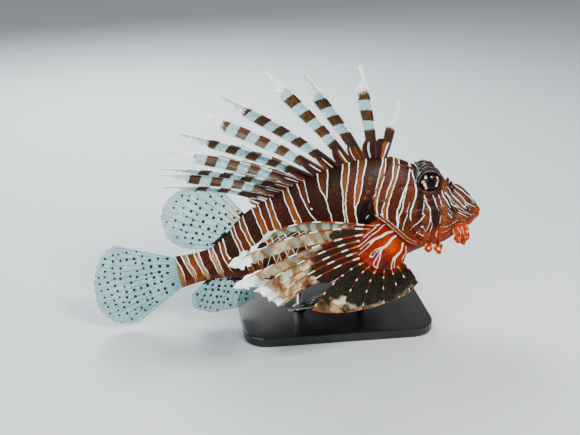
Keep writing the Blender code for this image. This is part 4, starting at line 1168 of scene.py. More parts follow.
def rods(name, paths, values, finish, sides=8, thickness=1.0):
    """One mesh of rods along paths. Each value is a list with the numbers of each path."""
    edges = []
    first = 0
    for path in paths:
        edges += [(first + k, first + k + 1) for k in range(len(path) - 1)]
        first += len(path)
    carried = {key: np.concatenate([np.broadcast_to(row, len(path)) for row, path in zip(rows, paths)])
               for key, rows in values.items()}
    made = mesh_object(name, place(np.vstack(paths)), [], carried, edges=edges)
    return run_tree(made, *ROD_TREE, Sides=sides, Thickness=thickness, Finish=finish)


# %% [markdown]
# ## Fins with free rays
# In the spiny dorsal fin and the pectoral fins each ray carries its own strip of skin, and only near
# the root does a web join it to the next ray. Lower down in the pectoral fin the web reaches the
# tips. Strips and webs are grids of points, which Solidify gives a thin wall. Grids were chosen over
# cloth or displacement, because each torn edge and each fold then stays where it was set.

# %% Strips and webs of fin skin
SKIN_THICKNESS = 0.28
STRIP_ROWS = 72
STRIP_COLUMNS = 8
STRIP_SHARES = np.linspace(0, 1, STRIP_ROWS)
STRIP_ACROSS = np.linspace(0, 1, STRIP_COLUMNS + 1)
STRIP_BELLY = 0.10
# The most of the room between two rays that a free strip takes, and the length of a web's edge.
STRIP_ROOM = 0.92
WEB_FADE = 0.09
PENNANT_ROWS = 40
PENNANT_COLUMNS = 6


def ray_line(root, tip, bow, shares, skew=0.0):
    """A bowed line. Skew moves the bow from the root's half to the tip's half."""
    root = np.asarray(root, float)
    tip = np.asarray(tip, float)
    shares = np.asarray(shares)[:, None]
    rise = 4 * shares * (1 - shares) * (1 + skew * (2 * shares - 1))
    return root + (tip - root) * shares + np.asarray(bow, float) * rise


def lengths_along(line):
    steps = np.linalg.norm(np.diff(line, axis=0), axis=1)
    return np.concatenate(([0.0], np.cumsum(steps)))


def on_ray(ray, shares):
    """Points on a ray that is given as evenly spaced points."""
    own = np.linspace(0, 1, len(ray))
    return np.column_stack([np.interp(shares, own, ray[:, axis]) for axis in range(3)])


def membrane(name, grids, finish, thickness=SKIN_THICKNESS):
    """One thin skin from several grids, each with its points and its carried numbers."""
    points, faces = join_shells([(grid.reshape(-1, 3), grid_faces(*grid.shape[:2])) for grid, _ in grids])
    values = {key: np.concatenate([np.broadcast_to(numbers[key], grid.shape[:2]).ravel()
                                   for grid, numbers in grids]) for key in grids[0][1]}
    made = mesh_object(name, place(points), faces, values, finish)
    wall = made.modifiers.new("thickness", "SOLIDIFY")
    wall.thickness = thickness * MM
    wall.offset = 0
    return bake_modifiers(made)


def towards_next(ray, other):
    """For each point of a ray: its run, the direction to the next ray and the room between them."""
    runs = np.gradient(ray, axis=0)
    runs /= np.linalg.norm(runs, axis=1)[:, None]
    towards = other - ray
    towards = towards - runs * (towards * runs).sum(axis=1)[:, None]
    room = np.linalg.norm(towards, axis=1)
    return runs, towards / np.maximum(room, 1e-6)[:, None], room


def strip_grid(rays, i, width, web, seed):
    """The strip behind ray i, joined to the next ray up to the share called web."""
    ray, other = rays[i:i + 2]
    shares = STRIP_SHARES
    across = STRIP_ACROSS
    runs, towards, room = towards_next(ray, other)
    width = np.minimum(width, np.maximum(room * STRIP_ROOM, 0.6))
    free = ray[:, None, :] + towards[:, None, :] * (width[:, None] * across)[..., None]
    joined = ray[:, None, :] + (other - ray)[:, None, :] * across[None, :, None]
    on_web = 1 - ramp(shares, web - WEB_FADE, web + WEB_FADE)
    grid = free + (joined - free) * on_web[:, None, None]
    span = np.linalg.norm(grid[:, -1] - grid[:, 0], axis=1)
    facing = np.cross(runs, towards)
    sag = STRIP_BELLY * np.sin(math.pi * across)
    flutter = wander(STRIP_ROWS, 0.5, 9, seed)[:, None] * across ** 1.5 * (1 - on_web)[:, None]
    grid = grid + facing[:, None, :] * (span[:, None] * sag + flutter)[..., None]
    reach = lengths_along(ray)
    return grid, {"ray": float(i), "share": shares[:, None], "reach": reach[:, None], "across": across,
                  "web": on_web[:, None], "edge": (reach[-1] - reach)[:, None]}


def web_grid(rays, i, notch, seed):
    """The web between ray i and the next one, out to a shallow notch between their tips."""
    across = STRIP_ACROSS
    rows = STRIP_ROWS // 2
    shares = np.linspace(0, 1, rows)
    lengths = [lengths_along(ray)[-1] for ray in rays[i:i + 2]]
    grid = np.empty((rows, len(across), 3))
    reach = np.empty((rows, len(across)))
    for c, part in enumerate(across):
        end = 1 - notch * math.sin(math.pi * part)
        grid[:, c] = mix(*[on_ray(ray, shares * end) for ray in rays[i:i + 2]], part)
        reach[:, c] = shares * end * mix(*lengths, part)
    span = np.linalg.norm(grid[:, -1] - grid[:, 0], axis=1)
    arch = np.sin(math.pi * across)
    fold = STRIP_BELLY * arch * span[:, None] + wander(rows, 0.35, 6, seed)[:, None] * arch
    grid = grid + sheet_normals(grid) * fold[..., None]
    return grid, {"ray": float(i), "share": shares[:, None], "reach": reach, "across": across,
                  "web": 1.0, "edge": reach[-1] - reach}


def lobes(shares, start, count, low):
    """A scalloped wave beyond a share, for the torn ends of a strip."""
    wave = low + (1 - low) * np.abs(np.sin(math.pi * count * (shares - start) / (1 - start)))
    return np.where(shares > start, wave, 1.0)


def pennant(ray, other, start, width, count, seed):
    """A torn white lobe on the front side of a ray, near its tip."""
    shares = np.linspace(start, 1, PENNANT_ROWS)
    line = on_ray(ray, shares)
    runs, towards, _ = towards_next(line, on_ray(other, shares))
    rise = np.sin(math.pi * ramp(shares, start - 0.01, 1.02)) ** 0.6
    reach = width * rise * lobes(shares, start - 0.001, count, 0.55)
    across = np.linspace(0, 1, PENNANT_COLUMNS)
    grid = line[:, None, :] - towards[:, None, :] * (reach[:, None] * across)[..., None]
    flutter = wander(PENNANT_ROWS, 0.6, 5, seed)[:, None] * across
    grid = grid + np.cross(runs, towards)[:, None, :] * flutter[..., None]
    return grid, {"ray": 0.0, "share": shares[:, None], "reach": lengths_along(ray)[-1] * shares[:, None],
                  "across": across, "web": 0.0, "edge": 0.0}


def rod_values(lines, radii):
    """What rods along rays carry: their radius, ray number, and the lengths from root and tip."""
    reaches = [lengths_along(line) for line in lines]
    return {"radius_mm": [radii] * len(lines), "ray": range(len(lines)), "reach": reaches,
            "edge": [reach[-1] - reach for reach in reaches]}


# %% [markdown]
# ## Spiny dorsal fin
# Thirteen spines stand on the back. Each is a stiff tapered rod with a banner of skin behind it,
# banded brown and clear. Towards the tip the banner is only a few torn white rags. At the foot the
# webs carry the bands of the back upwards, so they read the same flank lines.

# %% Dorsal spines
# Each spine: its foot and tip as (u, w), and how far the tip leans to the left.
DORSAL_SPINES = [
    ((68, 60.5), (51.9, 99), 0),
    ((76.5, 62.5), (76.4, 131.4), 4),
    ((86.8, 62.8), (121, 137), -3),
    ((97.5, 62.4), (147, 142.2), 4),
    ((108.5, 60.8), (181.6, 131.2), -4),
    ((119, 58.6), (201.8, 121.4), 5),
    ((129, 56), (216, 110.2), -5),
    ((138, 53.6), (229, 96.4), 5),
    ((146.5, 51.2), (237.4, 87.8), -6),
    ((154.5, 48.6), (240.6, 80.6), 5),
    ((162.2, 46), (238, 73.6), -6),
    ((169.6, 43.4), (192.4, 57.6), 2),
    ((176.4, 41), (189.6, 49.4), -1),
]
SPINE_SINK = 6.0
SPINE_RADIUS = (1.25, 0.28)
BANNER_WIDTHS = (10.0, 7.6)
SPINE_WEB_HEIGHT = 14.0
SPINE_BOW = 0.035
RAG_START = 26.0
RAG_FADE = 9.0


def spine_rays():
    rays = []
    for (foot_u, foot_w), (tip_u, tip_w), lean in DORSAL_SPINES:
        foot = np.array((foot_u, 0, foot_w))
        tip = np.array((tip_u, lean, tip_w))
        run = (tip - foot) / np.linalg.norm(tip - foot)
        root = foot - np.array((run[0], 0, run[2])) * SPINE_SINK
        length = np.linalg.norm(tip - root)
        bow = np.array((-run[2], 0, run[0])) * length * SPINE_BOW
        rays.append(ray_line(root, tip, bow, STRIP_SHARES))
    return rays


def block_step(node, reach, ray, streak, slant):
    """1 on the brown blocks of 9 mm that stand every 16.5 mm, as read from the photo."""
    own = node(TIMES, node(SINE, node(TIMES, ray, 2.4)), 3.0)
    wave = node(TIMES, node(MINUS, streak, 0.5), 2.2)
    at = node(PLUS, node(PLUS, reach, wave), node(PLUS, own, slant))
    turn = node(FRACTION, node(OVER, at, 16.5))
    block = node(TIMES, node(EDGE, turn, 0.02, 0.06), node(EDGE, turn, 0.57, 0.53))
    return node(LARGER, block, node(EDGE, reach, 27.0, 24.0))


def banded_strip_material():
    """Clear cast film tinted in bands: brown blocks between clear ones, and white torn rags."""
    made, node, reach, across, ray, edge, web, tone, pale = start_material(
        "banded_cast_film", "reach", "across", "ray", "edge", "web", "tone", "pale")
    streak = noise(node, 1.6)
    block = block_step(node, reach, ray, streak, node(TIMES, across, -2.0))
    brown = node(BLEND, node(EDGE, streak, 0.35, 0.65), "#2f2210", "#5a3f1b")
    brown = node(BLEND, node(EDGE, across, 0.26, 0.16), brown, "#6a3216")
    brown = node(BLEND, node(EDGE, across, 0.14, 0.04), brown, "#120a06")
    brown = node(BLEND, node(EDGE, reach, 34.0, 16.0, 0, 0.55), brown, "#2a120a")
    clear = node(BLEND, node(EDGE, streak, 0.4, 0.6), "#5f9ea6", "#8fbfc3")
    colour = node(BLEND, block, clear, brown)
    margin = node(TIMES, node(EDGE, across, 0.88, 0.97, 0, 0.6), node(EDGE, reach, 25.0, 30.0))
    colour = node(BLEND, margin, colour, "#d9e6e6")
    ragged = node(PLUS, edge, node(TIMES, streak, 8.0))
    rag = node(EDGE, ragged, 26.0, 22.0)
    white = node(BLEND, node(EDGE, streak, 0.40, 0.60), "#f1f3f1", "#cfd4d2")
    colour = node(BLEND, rag, colour, white)

    base = band_colours(node, node(PLUS, tone, node(MINUS, streak, 0.5)))
    base = node(BLEND, node(EDGE, pale, 0.9, 0.1, 0, 0.6), base, "#120705")
    base = node(BLEND, node(EDGE, pale, 0.12, -0.1), base, "#dfe9ea")
    on_web = node(EDGE, web, 0.25, 0.6)
    colour = node(BLEND, on_web, colour, base)
    web_edge = node(TIMES, node(EDGE, web, 0.02, 0.1), node(EDGE, web, 0.99, 0.93))
    web_edge = node(TIMES, web_edge, node(EDGE, across, 0.84, 0.9))
    colour = node(BLEND, node(TIMES, web_edge, 0.85), colour, "#dde8e8")

    solid = node(TIMES, block, 0.94)
    for cover in (node(TIMES, rag, 0.92), margin, node(TIMES, on_web, 0.98), web_edge, 0.5):
        solid = node(LARGER, solid, cover)
    fibres = node(SINE, node(TIMES, across, 40.0))
    raised = node(PLUS, node(TIMES, fibres, 0.3), streak)
    return finish_material(made, colour, 0.42, (0.3, 0.0004, raised), coat=0.05, specular=0.3,
                           alpha=solid)


def banded_ray_material():
    """Enamelled rods: brown and white lengths that keep step with the blocks of the film."""
    made, node, reach, ray, edge = start_material("banded_enamel_rod", "reach", "ray", "edge")
    speck = noise(node, 1.6)
    block = block_step(node, reach, ray, speck, 0.0)
    brown = node(BLEND, node(EDGE, speck, 0.4, 0.6), "#1d0f08", "#4a2312")
    pale_rod = node(BLEND, node(EDGE, speck, 0.4, 0.6), "#9fb6b8", "#d4dfdf")
    colour = node(BLEND, block, pale_rod, brown)
    colour = node(BLEND, node(EDGE, edge, 24.0, 18.0), colour, "#f3f4f2")
    return finish_material(made, colour, 0.35, coat=0.2, coat_roughness=0.15)


spine_lines = spine_rays()
spine_count = len(spine_lines)
banners = []
for i in range(spine_count - 1):
    reach = lengths_along(spine_lines[i])
    length = reach[-1]
    to_tip = length - reach
    widest = mix(*BANNER_WIDTHS, i / (spine_count - 1)) * ramp(length, 20, 62)
    rags = 0.28 + 0.56 * ramp(to_tip, 9, 16) * np.abs(np.sin(to_tip * 0.5 + i)) ** 0.7
    full = mix(0.75, 1.0, ramp(STRIP_SHARES, 0.2, 0.6))
    rag_ends = (min(RAG_START - RAG_FADE, length * 0.4), min(RAG_START, length * 0.6))
    width = widest * mix(rags, full, ramp(to_tip, *rag_ends))
    grid, numbers = strip_grid(spine_lines, i, width, min(SPINE_WEB_HEIGHT / length, 0.5), 150 + i)
    base_u = mix(DORSAL_SPINES[i][0][0], DORSAL_SPINES[i + 1][0][0], numbers["across"])
    base_w = body_rows(base_u)[0]
    numbers["tone"] = band_tone(base_u, base_w - 2)
    numbers["pale"] = back_lines(base_u)
    banners.append((grid, numbers))
banner = membrane("dorsal_banners", banners, banded_strip_material())
finish_piece(banner, "banded_fin", "spiny_dorsal_fin")
spine_values = rod_values(spine_lines, mix(*SPINE_RADIUS, STRIP_SHARES ** 0.8))
spines = rods("dorsal_spines", spine_lines, spine_values, banded_ray_material(), 10)
finish_piece(spines, "banded_fin", "spiny_dorsal_fin")

# %% [markdown]
# ## Pectoral fins
# Fourteen rays spread from each fleshy base. The upper three are long and free, with pale torn
# ends, the next four share a web of tan clouds, and the lower seven form a dark fan.

# %% Pectoral fins
# The share of each free strip that a web still joins, by the number of its ray.
FREE_STRIPS = {0: 0.30, 1: 0.26, 2: 0.40, 6: 0.45}
# Threads cross the gaps above the first web. The dark fan starts at its own ray.
FIRST_WEB = 3
FIRST_FAN_RAY = 7
WEB_NOTCH = 0.018
FAN_NOTCH = -0.045
DARK_ENDS = [0.08, 0.24, 0.36, 0.46, 0.52, 0.57, 0.60, 0.80, 0.93, 1.0, 1.0, 1.0, 1.0]
PECTORAL_STRIP = 9.0
PECTORAL_RAY = (0.80, 0.26)
RAY_SINK = 1.5
TORN_START = 0.74
THREAD_ROWS = (38, 43, 48, 53)
THREAD_RADIUS = 0.3
# Ray, width and number of lobes of each white pennant, and the share of the ray where they start.
PENNANTS = [(0, 6.0, 4), (1, 4.0, 3), (2, 3.0, 3)]
PENNANT_START = 0.78
PENNANT_TONE = 0.6
TOP_RAY_SKEW = 0.55
# Each free strip: how wide it is on its outer half, as a share of its widest.
OUTER_WIDTHS = {0: 0.62, 1: 0.85, 2: 0.85, 6: 0.3}


def pectoral_rays():
    rays = []
    for root, tip, bow in zip(PECTORAL_ROOTS, PECTORAL_TIPS, PECTORAL_BOWS):
        run = np.subtract(tip, root)
        run = run / np.linalg.norm(run)
        skew = TOP_RAY_SKEW if not rays else 0.0
        rays.append(ray_line(root - run * RAY_SINK, tip, (0, 0, bow), STRIP_SHARES, skew))
    return rays


def pectoral_film_material():
    """Thin cast film, airbrushed: dark at the root, tan clouds further out, and pale torn ends."""
    made, node, across, ray, reach, edge, beyond = start_material(
        "airbrushed_cast_film", "across", "ray", "reach", "edge", "beyond")
    blotch = noise(node, 12.0, 2.0, 0.5)
    streak = noise(node, 2.2, seed=4.0)
    centred = node(MINUS, blotch, 0.5)
    beyond = node(PLUS, beyond, node(TIMES, centred, 0.5))
    in_fan = node(EDGE, ray, 6.4, 6.8)
    in_free = node(PLUS, node(EDGE, ray, 2.6, 2.2, 0, 0.32), node(EDGE, ray, 0.8, 0.4, 0, 0.62))

    dark = node(BLEND, node(EDGE, streak, 0.4, 0.65), "#1c110a", "#3d2112")
    fan = node(BLEND, node(EDGE, streak, 0.38, 0.62), "#0c130e", "#262817")
    dark = node(BLEND, node(TIMES, in_fan, 0.85), dark, fan)
    tan = node(BLEND, node(EDGE, blotch, 0.42, 0.50), "#644a2b", "#9c8560")
    tan = node(BLEND, node(EDGE, blotch, 0.54, 0.60, 0, 0.75), tan, "#cdccb4")
    tan = node(BLEND, node(EDGE, streak, 0.52, 0.66, 0, 0.4), tan, "#86683c")
    # The free strips on top are pale green with slanting tan bands of 6 mm every 12 mm.
    slant = node(PLUS, node(TIMES, across, 6.0), node(TIMES, centred, 9.0))
    turn = node(FRACTION, node(OVER, node(PLUS, reach, slant), 12.0))
    band = node(TIMES, node(EDGE, turn, 0.02, 0.12), node(EDGE, turn, 0.55, 0.42))
    free = node(BLEND, node(TIMES, band, 0.85), "#93b0a4", "#6f5228")
    tan = node(BLEND, in_free, tan, free)
    colour = node(BLEND, node(EDGE, beyond, -0.03, 0.09), dark, tan)

    white = node(BLEND, node(EDGE, streak, 0.42, 0.62), "#eef2ee", "#c9d8d2")
    uneven = node(PLUS, edge, node(TIMES, centred, 16.0))
    torn_depth = node(PLUS, node(EDGE, ray, 2.8, 2.2, 1.5, 11.5), node(EDGE, ray, 6.0, 4.2, 0, 7.0))
    torn = node(EDGE, node(MINUS, uneven, torn_depth), 2.0, -2.0)
    torn = node(TIMES, torn, node(MINUS, 1.0, in_fan))
    colour = node(BLEND, torn, colour, white)
    # The dark fan has a faint pale band inside its edge, and a thin orange rim.
    band_in = node(TIMES, node(EDGE, edge, 5.5, 4.0, 0, 0.6), node(EDGE, edge, 1.6, 2.6))
    band_in = node(TIMES, band_in, node(TIMES, in_fan, node(EDGE, blotch, 0.40, 0.66)))
    colour = node(BLEND, band_in, colour, "#8d8a63")
    rim = node(TIMES, node(EDGE, edge, 1.3, 0.7, 0, 0.8), node(EDGE, streak, 0.40, 0.52))
    colour = node(BLEND, node(TIMES, rim, in_fan), colour, "#a3461c")
    foot = node(PLUS, reach, node(TIMES, centred, 8.0))
    colour = node(BLEND, node(EDGE, foot, 9.0, 3.0, 0, 0.8), colour, "#7e260c")

    solid = node("ShaderNodeMapRange", beyond, -0.05, 0.3, 0.97, 0.80)
    fibres = node(SINE, node(TIMES, across, 50.0))
    raised = node(PLUS, node(TIMES, fibres, 0.25), streak)
    solid = node(LARGER, solid, node(TIMES, torn, 0.95))
    return finish_material(made, colour, 0.42, (0.35, 0.0005, raised), coat=0.05, specular=0.3,
                           alpha=solid)


def dashed_ray_material():
    """Enamelled rods with red-brown and white dashes, darker in the lower fan."""
    made, node, reach, ray, edge = start_material("dashed_enamel_rod", "reach", "ray", "edge")
    speck = noise(node, 1.2, 2.0)
    in_fan = node(EDGE, ray, 6.4, 6.8)
    # Long dashes on the upper rays and short ones on the fan, as read from the photo.
    period = node(PLUS, node(TIMES, in_fan, -11.0), 24.0)
    own = node(TIMES, ray, 6.1)
    turn = node(FRACTION, node(OVER, node(PLUS, reach, own), period))
    dash_starts = node(MINUS, turn, node(TIMES, in_fan, 0.14))
    dash = node(TIMES, node(EDGE, dash_starts, 0.58, 0.63), node(EDGE, turn, 0.98, 0.94))
    red = node(BLEND, in_fan, "#92300f", "#4f1a0d")
    red = node(BLEND, node(EDGE, speck, 0.5, 0.65, 0, 0.5), red, "#6a200c")
    red = node(BLEND, node(EDGE, reach, 14.0, 3.0, 0, 0.6), red, "#b98a5e")
    colour = node(BLEND, dash, red, "#d8dfd0")
    to_tip = node(PLUS, edge, node(TIMES, in_fan, 40.0))
    colour = node(BLEND, node(EDGE, to_tip, 14.0, 8.0), colour, "#eef2ef")
    return finish_material(made, colour, 0.35, coat=0.2, coat_roughness=0.15)


fin_lines = pectoral_rays()
fin_film = pectoral_film_material()
fin_rod = dashed_ray_material()
fin_grids = []
thread_paths = []
for i in range(len(fin_lines) - 1):
    if i in FREE_STRIPS:
        swell = mix(0.7, 1.0, ramp(STRIP_SHARES, 0.1, 0.35)) * (1 - 0.8 * ramp(STRIP_SHARES, 0.94, 1.0))
        swell = swell * mix(1.0, OUTER_WIDTHS[i], ramp(STRIP_SHARES, 0.42, 0.62))
        torn = lobes(STRIP_SHARES, TORN_START, 5 + i, 0.6)
        swell = swell * mix(1.0, torn, ramp(STRIP_SHARES, TORN_START, 0.8))
        grid, numbers = strip_grid(fin_lines, i, PECTORAL_STRIP * swell, FREE_STRIPS[i], 350 + i)
        if i < FIRST_WEB:
            for row in THREAD_ROWS:
                thread_paths.append(np.vstack((grid[row, -1], fin_lines[i + 1][row + 1])))
    else:
        grid, numbers = web_grid(fin_lines, i, FAN_NOTCH if i >= FIRST_FAN_RAY else WEB_NOTCH, 350 + i)
    numbers["beyond"] = numbers["share"] - DARK_ENDS[i]
    fin_grids.append((grid, numbers))
for i, width, count in PENNANTS:
    grid, numbers = pennant(fin_lines[i], fin_lines[i + 1], PENNANT_START, width, count, 370 + i)
    numbers["beyond"] = PENNANT_TONE
    fin_grids.append((grid, numbers))
fin_values = rod_values(fin_lines, mix(*PECTORAL_RAY, STRIP_SHARES))


def mottled_material(name, size_mm, dark, light, **values):
    """A plain finish of two near colours, for threads of tinted resin and dots of enamel."""
    made, node = start_material(name)
    mottle = noise(node, size_mm, 3.0, 0.55)
    return finish_material(made, node(BLEND, mottle, dark, light), 0.4, **values)


thread_finish = mottled_material("tinted_resin_thread", 1.5, "#4f7f80", "#86a9a4")
for name, swing in FIN_SIDES:
    node = "pectoral_fin_" + name
    grids = [(swing(grid), numbers) for grid, numbers in fin_grids]
    finish_piece(membrane("pectoral_film_" + name, grids, fin_film), "banded_fin", node)
    paths = [swing(line) for line in fin_lines]
    finish_piece(rods("pectoral_rays_" + name, paths, fin_values, fin_rod, 10), "banded_fin", node)
    threads = [swing(path) for path in thread_paths]
    thread_values = {"radius_mm": [THREAD_RADIUS] * len(threads)}
    thread_rods = rods("pectoral_threads_" + name, threads, thread_values, thread_finish, 6)
    finish_piece(thread_rods, "banded_fin", node)

# %% [markdown]
# ## Clear spotted fans
# The soft dorsal, tail and anal fins are clear fans on thin branched rays with rows of black dots.
# A fan is a grid between a root line and an outline. Each dot is a small flat disc that a node tree
# sets through the film, in rows across the rays, because a dot drawn by the shader would be squeezed
# where the grid narrows.

# %% Fans


def upright(*places):
    """Places of (u, w) on the middle plane of the fish."""
    return [(u, 0.0, w) for u, w in places]


CAUDAL_ROOTS = upright((242, 11.5), (242.4, 4), (242.4, -5), (242, -12.5))
CAUDAL_TIPS = upright((286, 33), (296.5, 27), (304, 16), (308.4, 4), (310, -8), (309, -19),
                      (303, -28.5), (294, -34), (283, -36))
SOFT_ROOTS = upright((182, 33), (190, 26), (198, 18), (206, 11.5))
SOFT_TIPS = upright((197, 60), (208, 65), (220, 66.5), (231, 64.5), (240, 59), (245.6, 49),
                    (246.4, 38.5), (243.5, 27.5), (235.5, 18.6))
ANAL_ROOTS = upright((186, -13.5), (196, -11), (206, -8.5), (216, -7.5))
ANAL_TIPS = upright((189, -37), (201, -41), (216, -42), (229, -39.5), (238, -32.5), (237, -22.5))
PELVIC_ROOTS = [(73, -15, -22), (77, -12.5, -24.5), (81, -9, -26), (84, -6, -26.5)]
PELVIC_TIPS = [(120, -38, -31), (150, -43, -32), (166, -38, -34.5),
               (166, -29, -37.5), (157, -20, -39.5), (142, -12, -40.5)]
FAN_ROWS = 44
FAN_COLUMNS = 8
FAN_RAY = (0.5, 0.13)
# Each level of forks: how many branches, the shares where they start and end, and their thickness.
FAN_FORKS = [(1, 0, 0.55, 1.0), (2, 0.52, 0.82, 0.8), (4, 0.80, 1.0, 0.7)]
FORK_SPREAD = 0.9
FORK_POINTS = 16
# Rays stop just short of the edge of the film.
RAY_REACH = 0.985
FAN_EDGE_NOTCH = 0.014
FAN_RIPPLE = 0.7
NO_BOW = (0, 0, 0)


def fan_point(roots, tips, bow, across, shares, ripple):
    """Points of a fan at one place across it, from root to edge."""
    root = along(roots, [across])[0]
    tip = along(tips, [across])[0]
    line = ray_line(root, tip, bow, shares)
    line[:, 1] += ripple * np.sin(across * 21.0) * np.asarray(shares) ** 1.5
    return line


def fan_grid(roots, tips, count, bow, ripple, notch):
    """The film of a fan, with a shallow notch in its edge between each two rays."""
    columns = (count - 1) * FAN_COLUMNS + 1
    place_across = np.linspace(0, 1, columns)
    shares = np.linspace(0, 1, FAN_ROWS)
    grid = np.empty((FAN_ROWS, columns, 3))
    reach = np.empty((FAN_ROWS, columns))
    for c, across in enumerate(place_across):
        between = (across * (count - 1)) % 1.0
        end = 1 - notch * math.sin(math.pi * between) ** 2
        grid[:, c] = fan_point(roots, tips, bow, across, shares * end, ripple)
        reach[:, c] = lengths_along(grid[:, c])
    return grid, {"ray": place_across * (count - 1), "share": shares[:, None], "reach": reach,
                  "edge": reach[-1] - reach}


def fan_rays(roots, tips, count, bow, ripple):
    """Each ray forks at half its length and again near the edge."""
    paths = []
    values = {"radius_mm": [], "reach": [], "share": [], "ray": []}
    step = 1 / (count - 1)
    for i in range(count):
        root = along(roots, [i * step])[0]
        for forks, start, end, thinner in FAN_FORKS:
            shares = np.linspace(start, end, FORK_POINTS)
            for fork in range(forks):
                spread = (fork - (forks - 1) / 2) / 4 * step * FORK_SPREAD
                parent = (fork // 2 - 0.5) / 2 * step * FORK_SPREAD if forks == 4 else 0.0
                places = np.clip(i * step + mix(parent, spread, (shares - start) / (end - start)), 0, 1)
                line = np.vstack([fan_point(roots, tips, bow, at, [share * RAY_REACH], ripple)
                                  for at, share in zip(places, shares)])
                paths.append(line)
                values["radius_mm"].append(mix(*FAN_RAY, shares) * thinner)
                values["reach"].append(np.linalg.norm(line - root, axis=1))
                values["share"].append(shares)
                values["ray"].append(float(i))
    return paths, values


# %% Node tree for dots
DOT_SIDES = 12
DOT_WELD = 0.0001
DOT_HALF_THICKNESS = 0.5
# In millimetres: the first row of dots from the root, and the room that dots leave along the edge
# and at each end of a row.
FIRST_DOT_ROW = 8.0
DOT_EDGE_ROOM = 1.5
DOT_END_ROOM = 1.2
DOT_RADII = (1.3, 0.85)
DOTS_MISSING = 0.08
# How far a dot strays along its row, as a share of the gap, and across it, and how its size varies.
DOT_DRIFT = 0.22
DOT_STRAY = 1.1
DOT_VARIETY = (0.8, 1.15)


def dots_tree():
    """Sets a small round dot on every point, turned by the point's normal and sized by its radius."""
    tree, named, node, into = start_tree("inked_dots", Dot="Object", Finish="Material")
    vector = ("GeometryNodeInputNamedAttribute", {"data_type": "FLOAT_VECTOR"})
    turned = node(("FunctionNodeAlignRotationToVector", {"axis": "Z"}), Vector=node(vector, "facing"))
    shape = node("GeometryNodeObjectInfo", into["Dot"], out="Geometry")
    placed = node("GeometryNodeInstanceOnPoints", into["Geometry"], Instance=shape, Rotation=turned,
                  Scale=node(vector, "size"))
    end_tree(tree, node, placed, into["Finish"])
    return tree, named


DOT_TREE = dots_tree()


def one_dot():
    """A flat round dot of radius 1 and half thickness 1, with a chamfered rim."""
    profile = [(0.0, -1.0), (0.8, -1.0), (1.0, -0.6), (1.0, 0.6), (0.8, 1.0), (0.0, 1.0)]
    made = mesh_object("one_dot", *turned_form(profile, DOT_SIDES))
    face_outwards(made, DOT_WELD)
    return made


def dot_places(grid, numbers, row_gap, dot_gap, seed):
    """Rows of dots at even lengths along the rays, staggered, and smaller towards the edge."""
    draw = np.random.default_rng(seed)
    rows = len(grid)
    reach = numbers["reach"]
    facing = sheet_normals(grid)
    places, facings, sizes = [], [], []
    for number, far in enumerate(np.arange(FIRST_DOT_ROW, reach[-1].max() - DOT_EDGE_ROOM, row_gap)):
        inner = np.flatnonzero(far < reach[-1] - DOT_EDGE_ROOM)
        if len(inner) < 4:
            continue
        row = np.array([np.interp(far, reach[:, c], np.arange(rows)) for c in inner])
        low = np.minimum(row.astype(int), rows - 2)
        line = mix(grid[low, inner], grid[low + 1, inner], (row - low)[:, None])
        across_skin = facing[low, inner]
        run = lengths_along(line)
        room = run[-1] - 2 * DOT_END_ROOM
        count = max(int(room / dot_gap), 2)
        start = DOT_END_ROOM + (0.5 * dot_gap if number % 2 else 0.0)
        for k in range(count):
            at = start + (k + draw.uniform(-DOT_DRIFT, DOT_DRIFT)) * room / count
            if at > run[-1] - 1.0 or at < 1.0 or draw.random() < DOTS_MISSING:
                continue
            column = np.interp(at, run, np.arange(len(run)))
            c = min(int(column), len(line) - 2)
            ahead = line[c + 1] - line[c]
            aside = np.cross(across_skin[c], ahead / max(np.linalg.norm(ahead), 1e-6))
            stray = aside * draw.uniform(-DOT_STRAY, DOT_STRAY)
            places.append(mix(line[c], line[c + 1], column - c) + stray)
            facings.append(across_skin[c])
            radius = mix(*DOT_RADII, row[c] / rows) * draw.uniform(*DOT_VARIETY)
            sizes.append((radius, radius, DOT_HALF_THICKNESS))
    return np.array(places), np.array(facings), np.array(sizes)


def dots(name, grid, numbers, row_gap, dot_gap, seed, finish):
    places, facings, sizes = dot_places(grid, numbers, row_gap, dot_gap, seed)
    turned = place(places + facings) - place(places)
    made = mesh_object(name, place(places), [], {"facing": turned, "size": sizes * MM})
    print(name, "has", len(places), "dots")
    return run_tree(made, *DOT_TREE, Dot=dot_shape, Finish=finish)


def above_body(points):
    """How far points are above the back or below the belly."""
    back, belly = [row.reshape(points.shape[:-1]) for row in body_rows(points[..., 0].ravel())[:2]]
    return np.maximum(points[..., 2] - back, belly - points[..., 2])


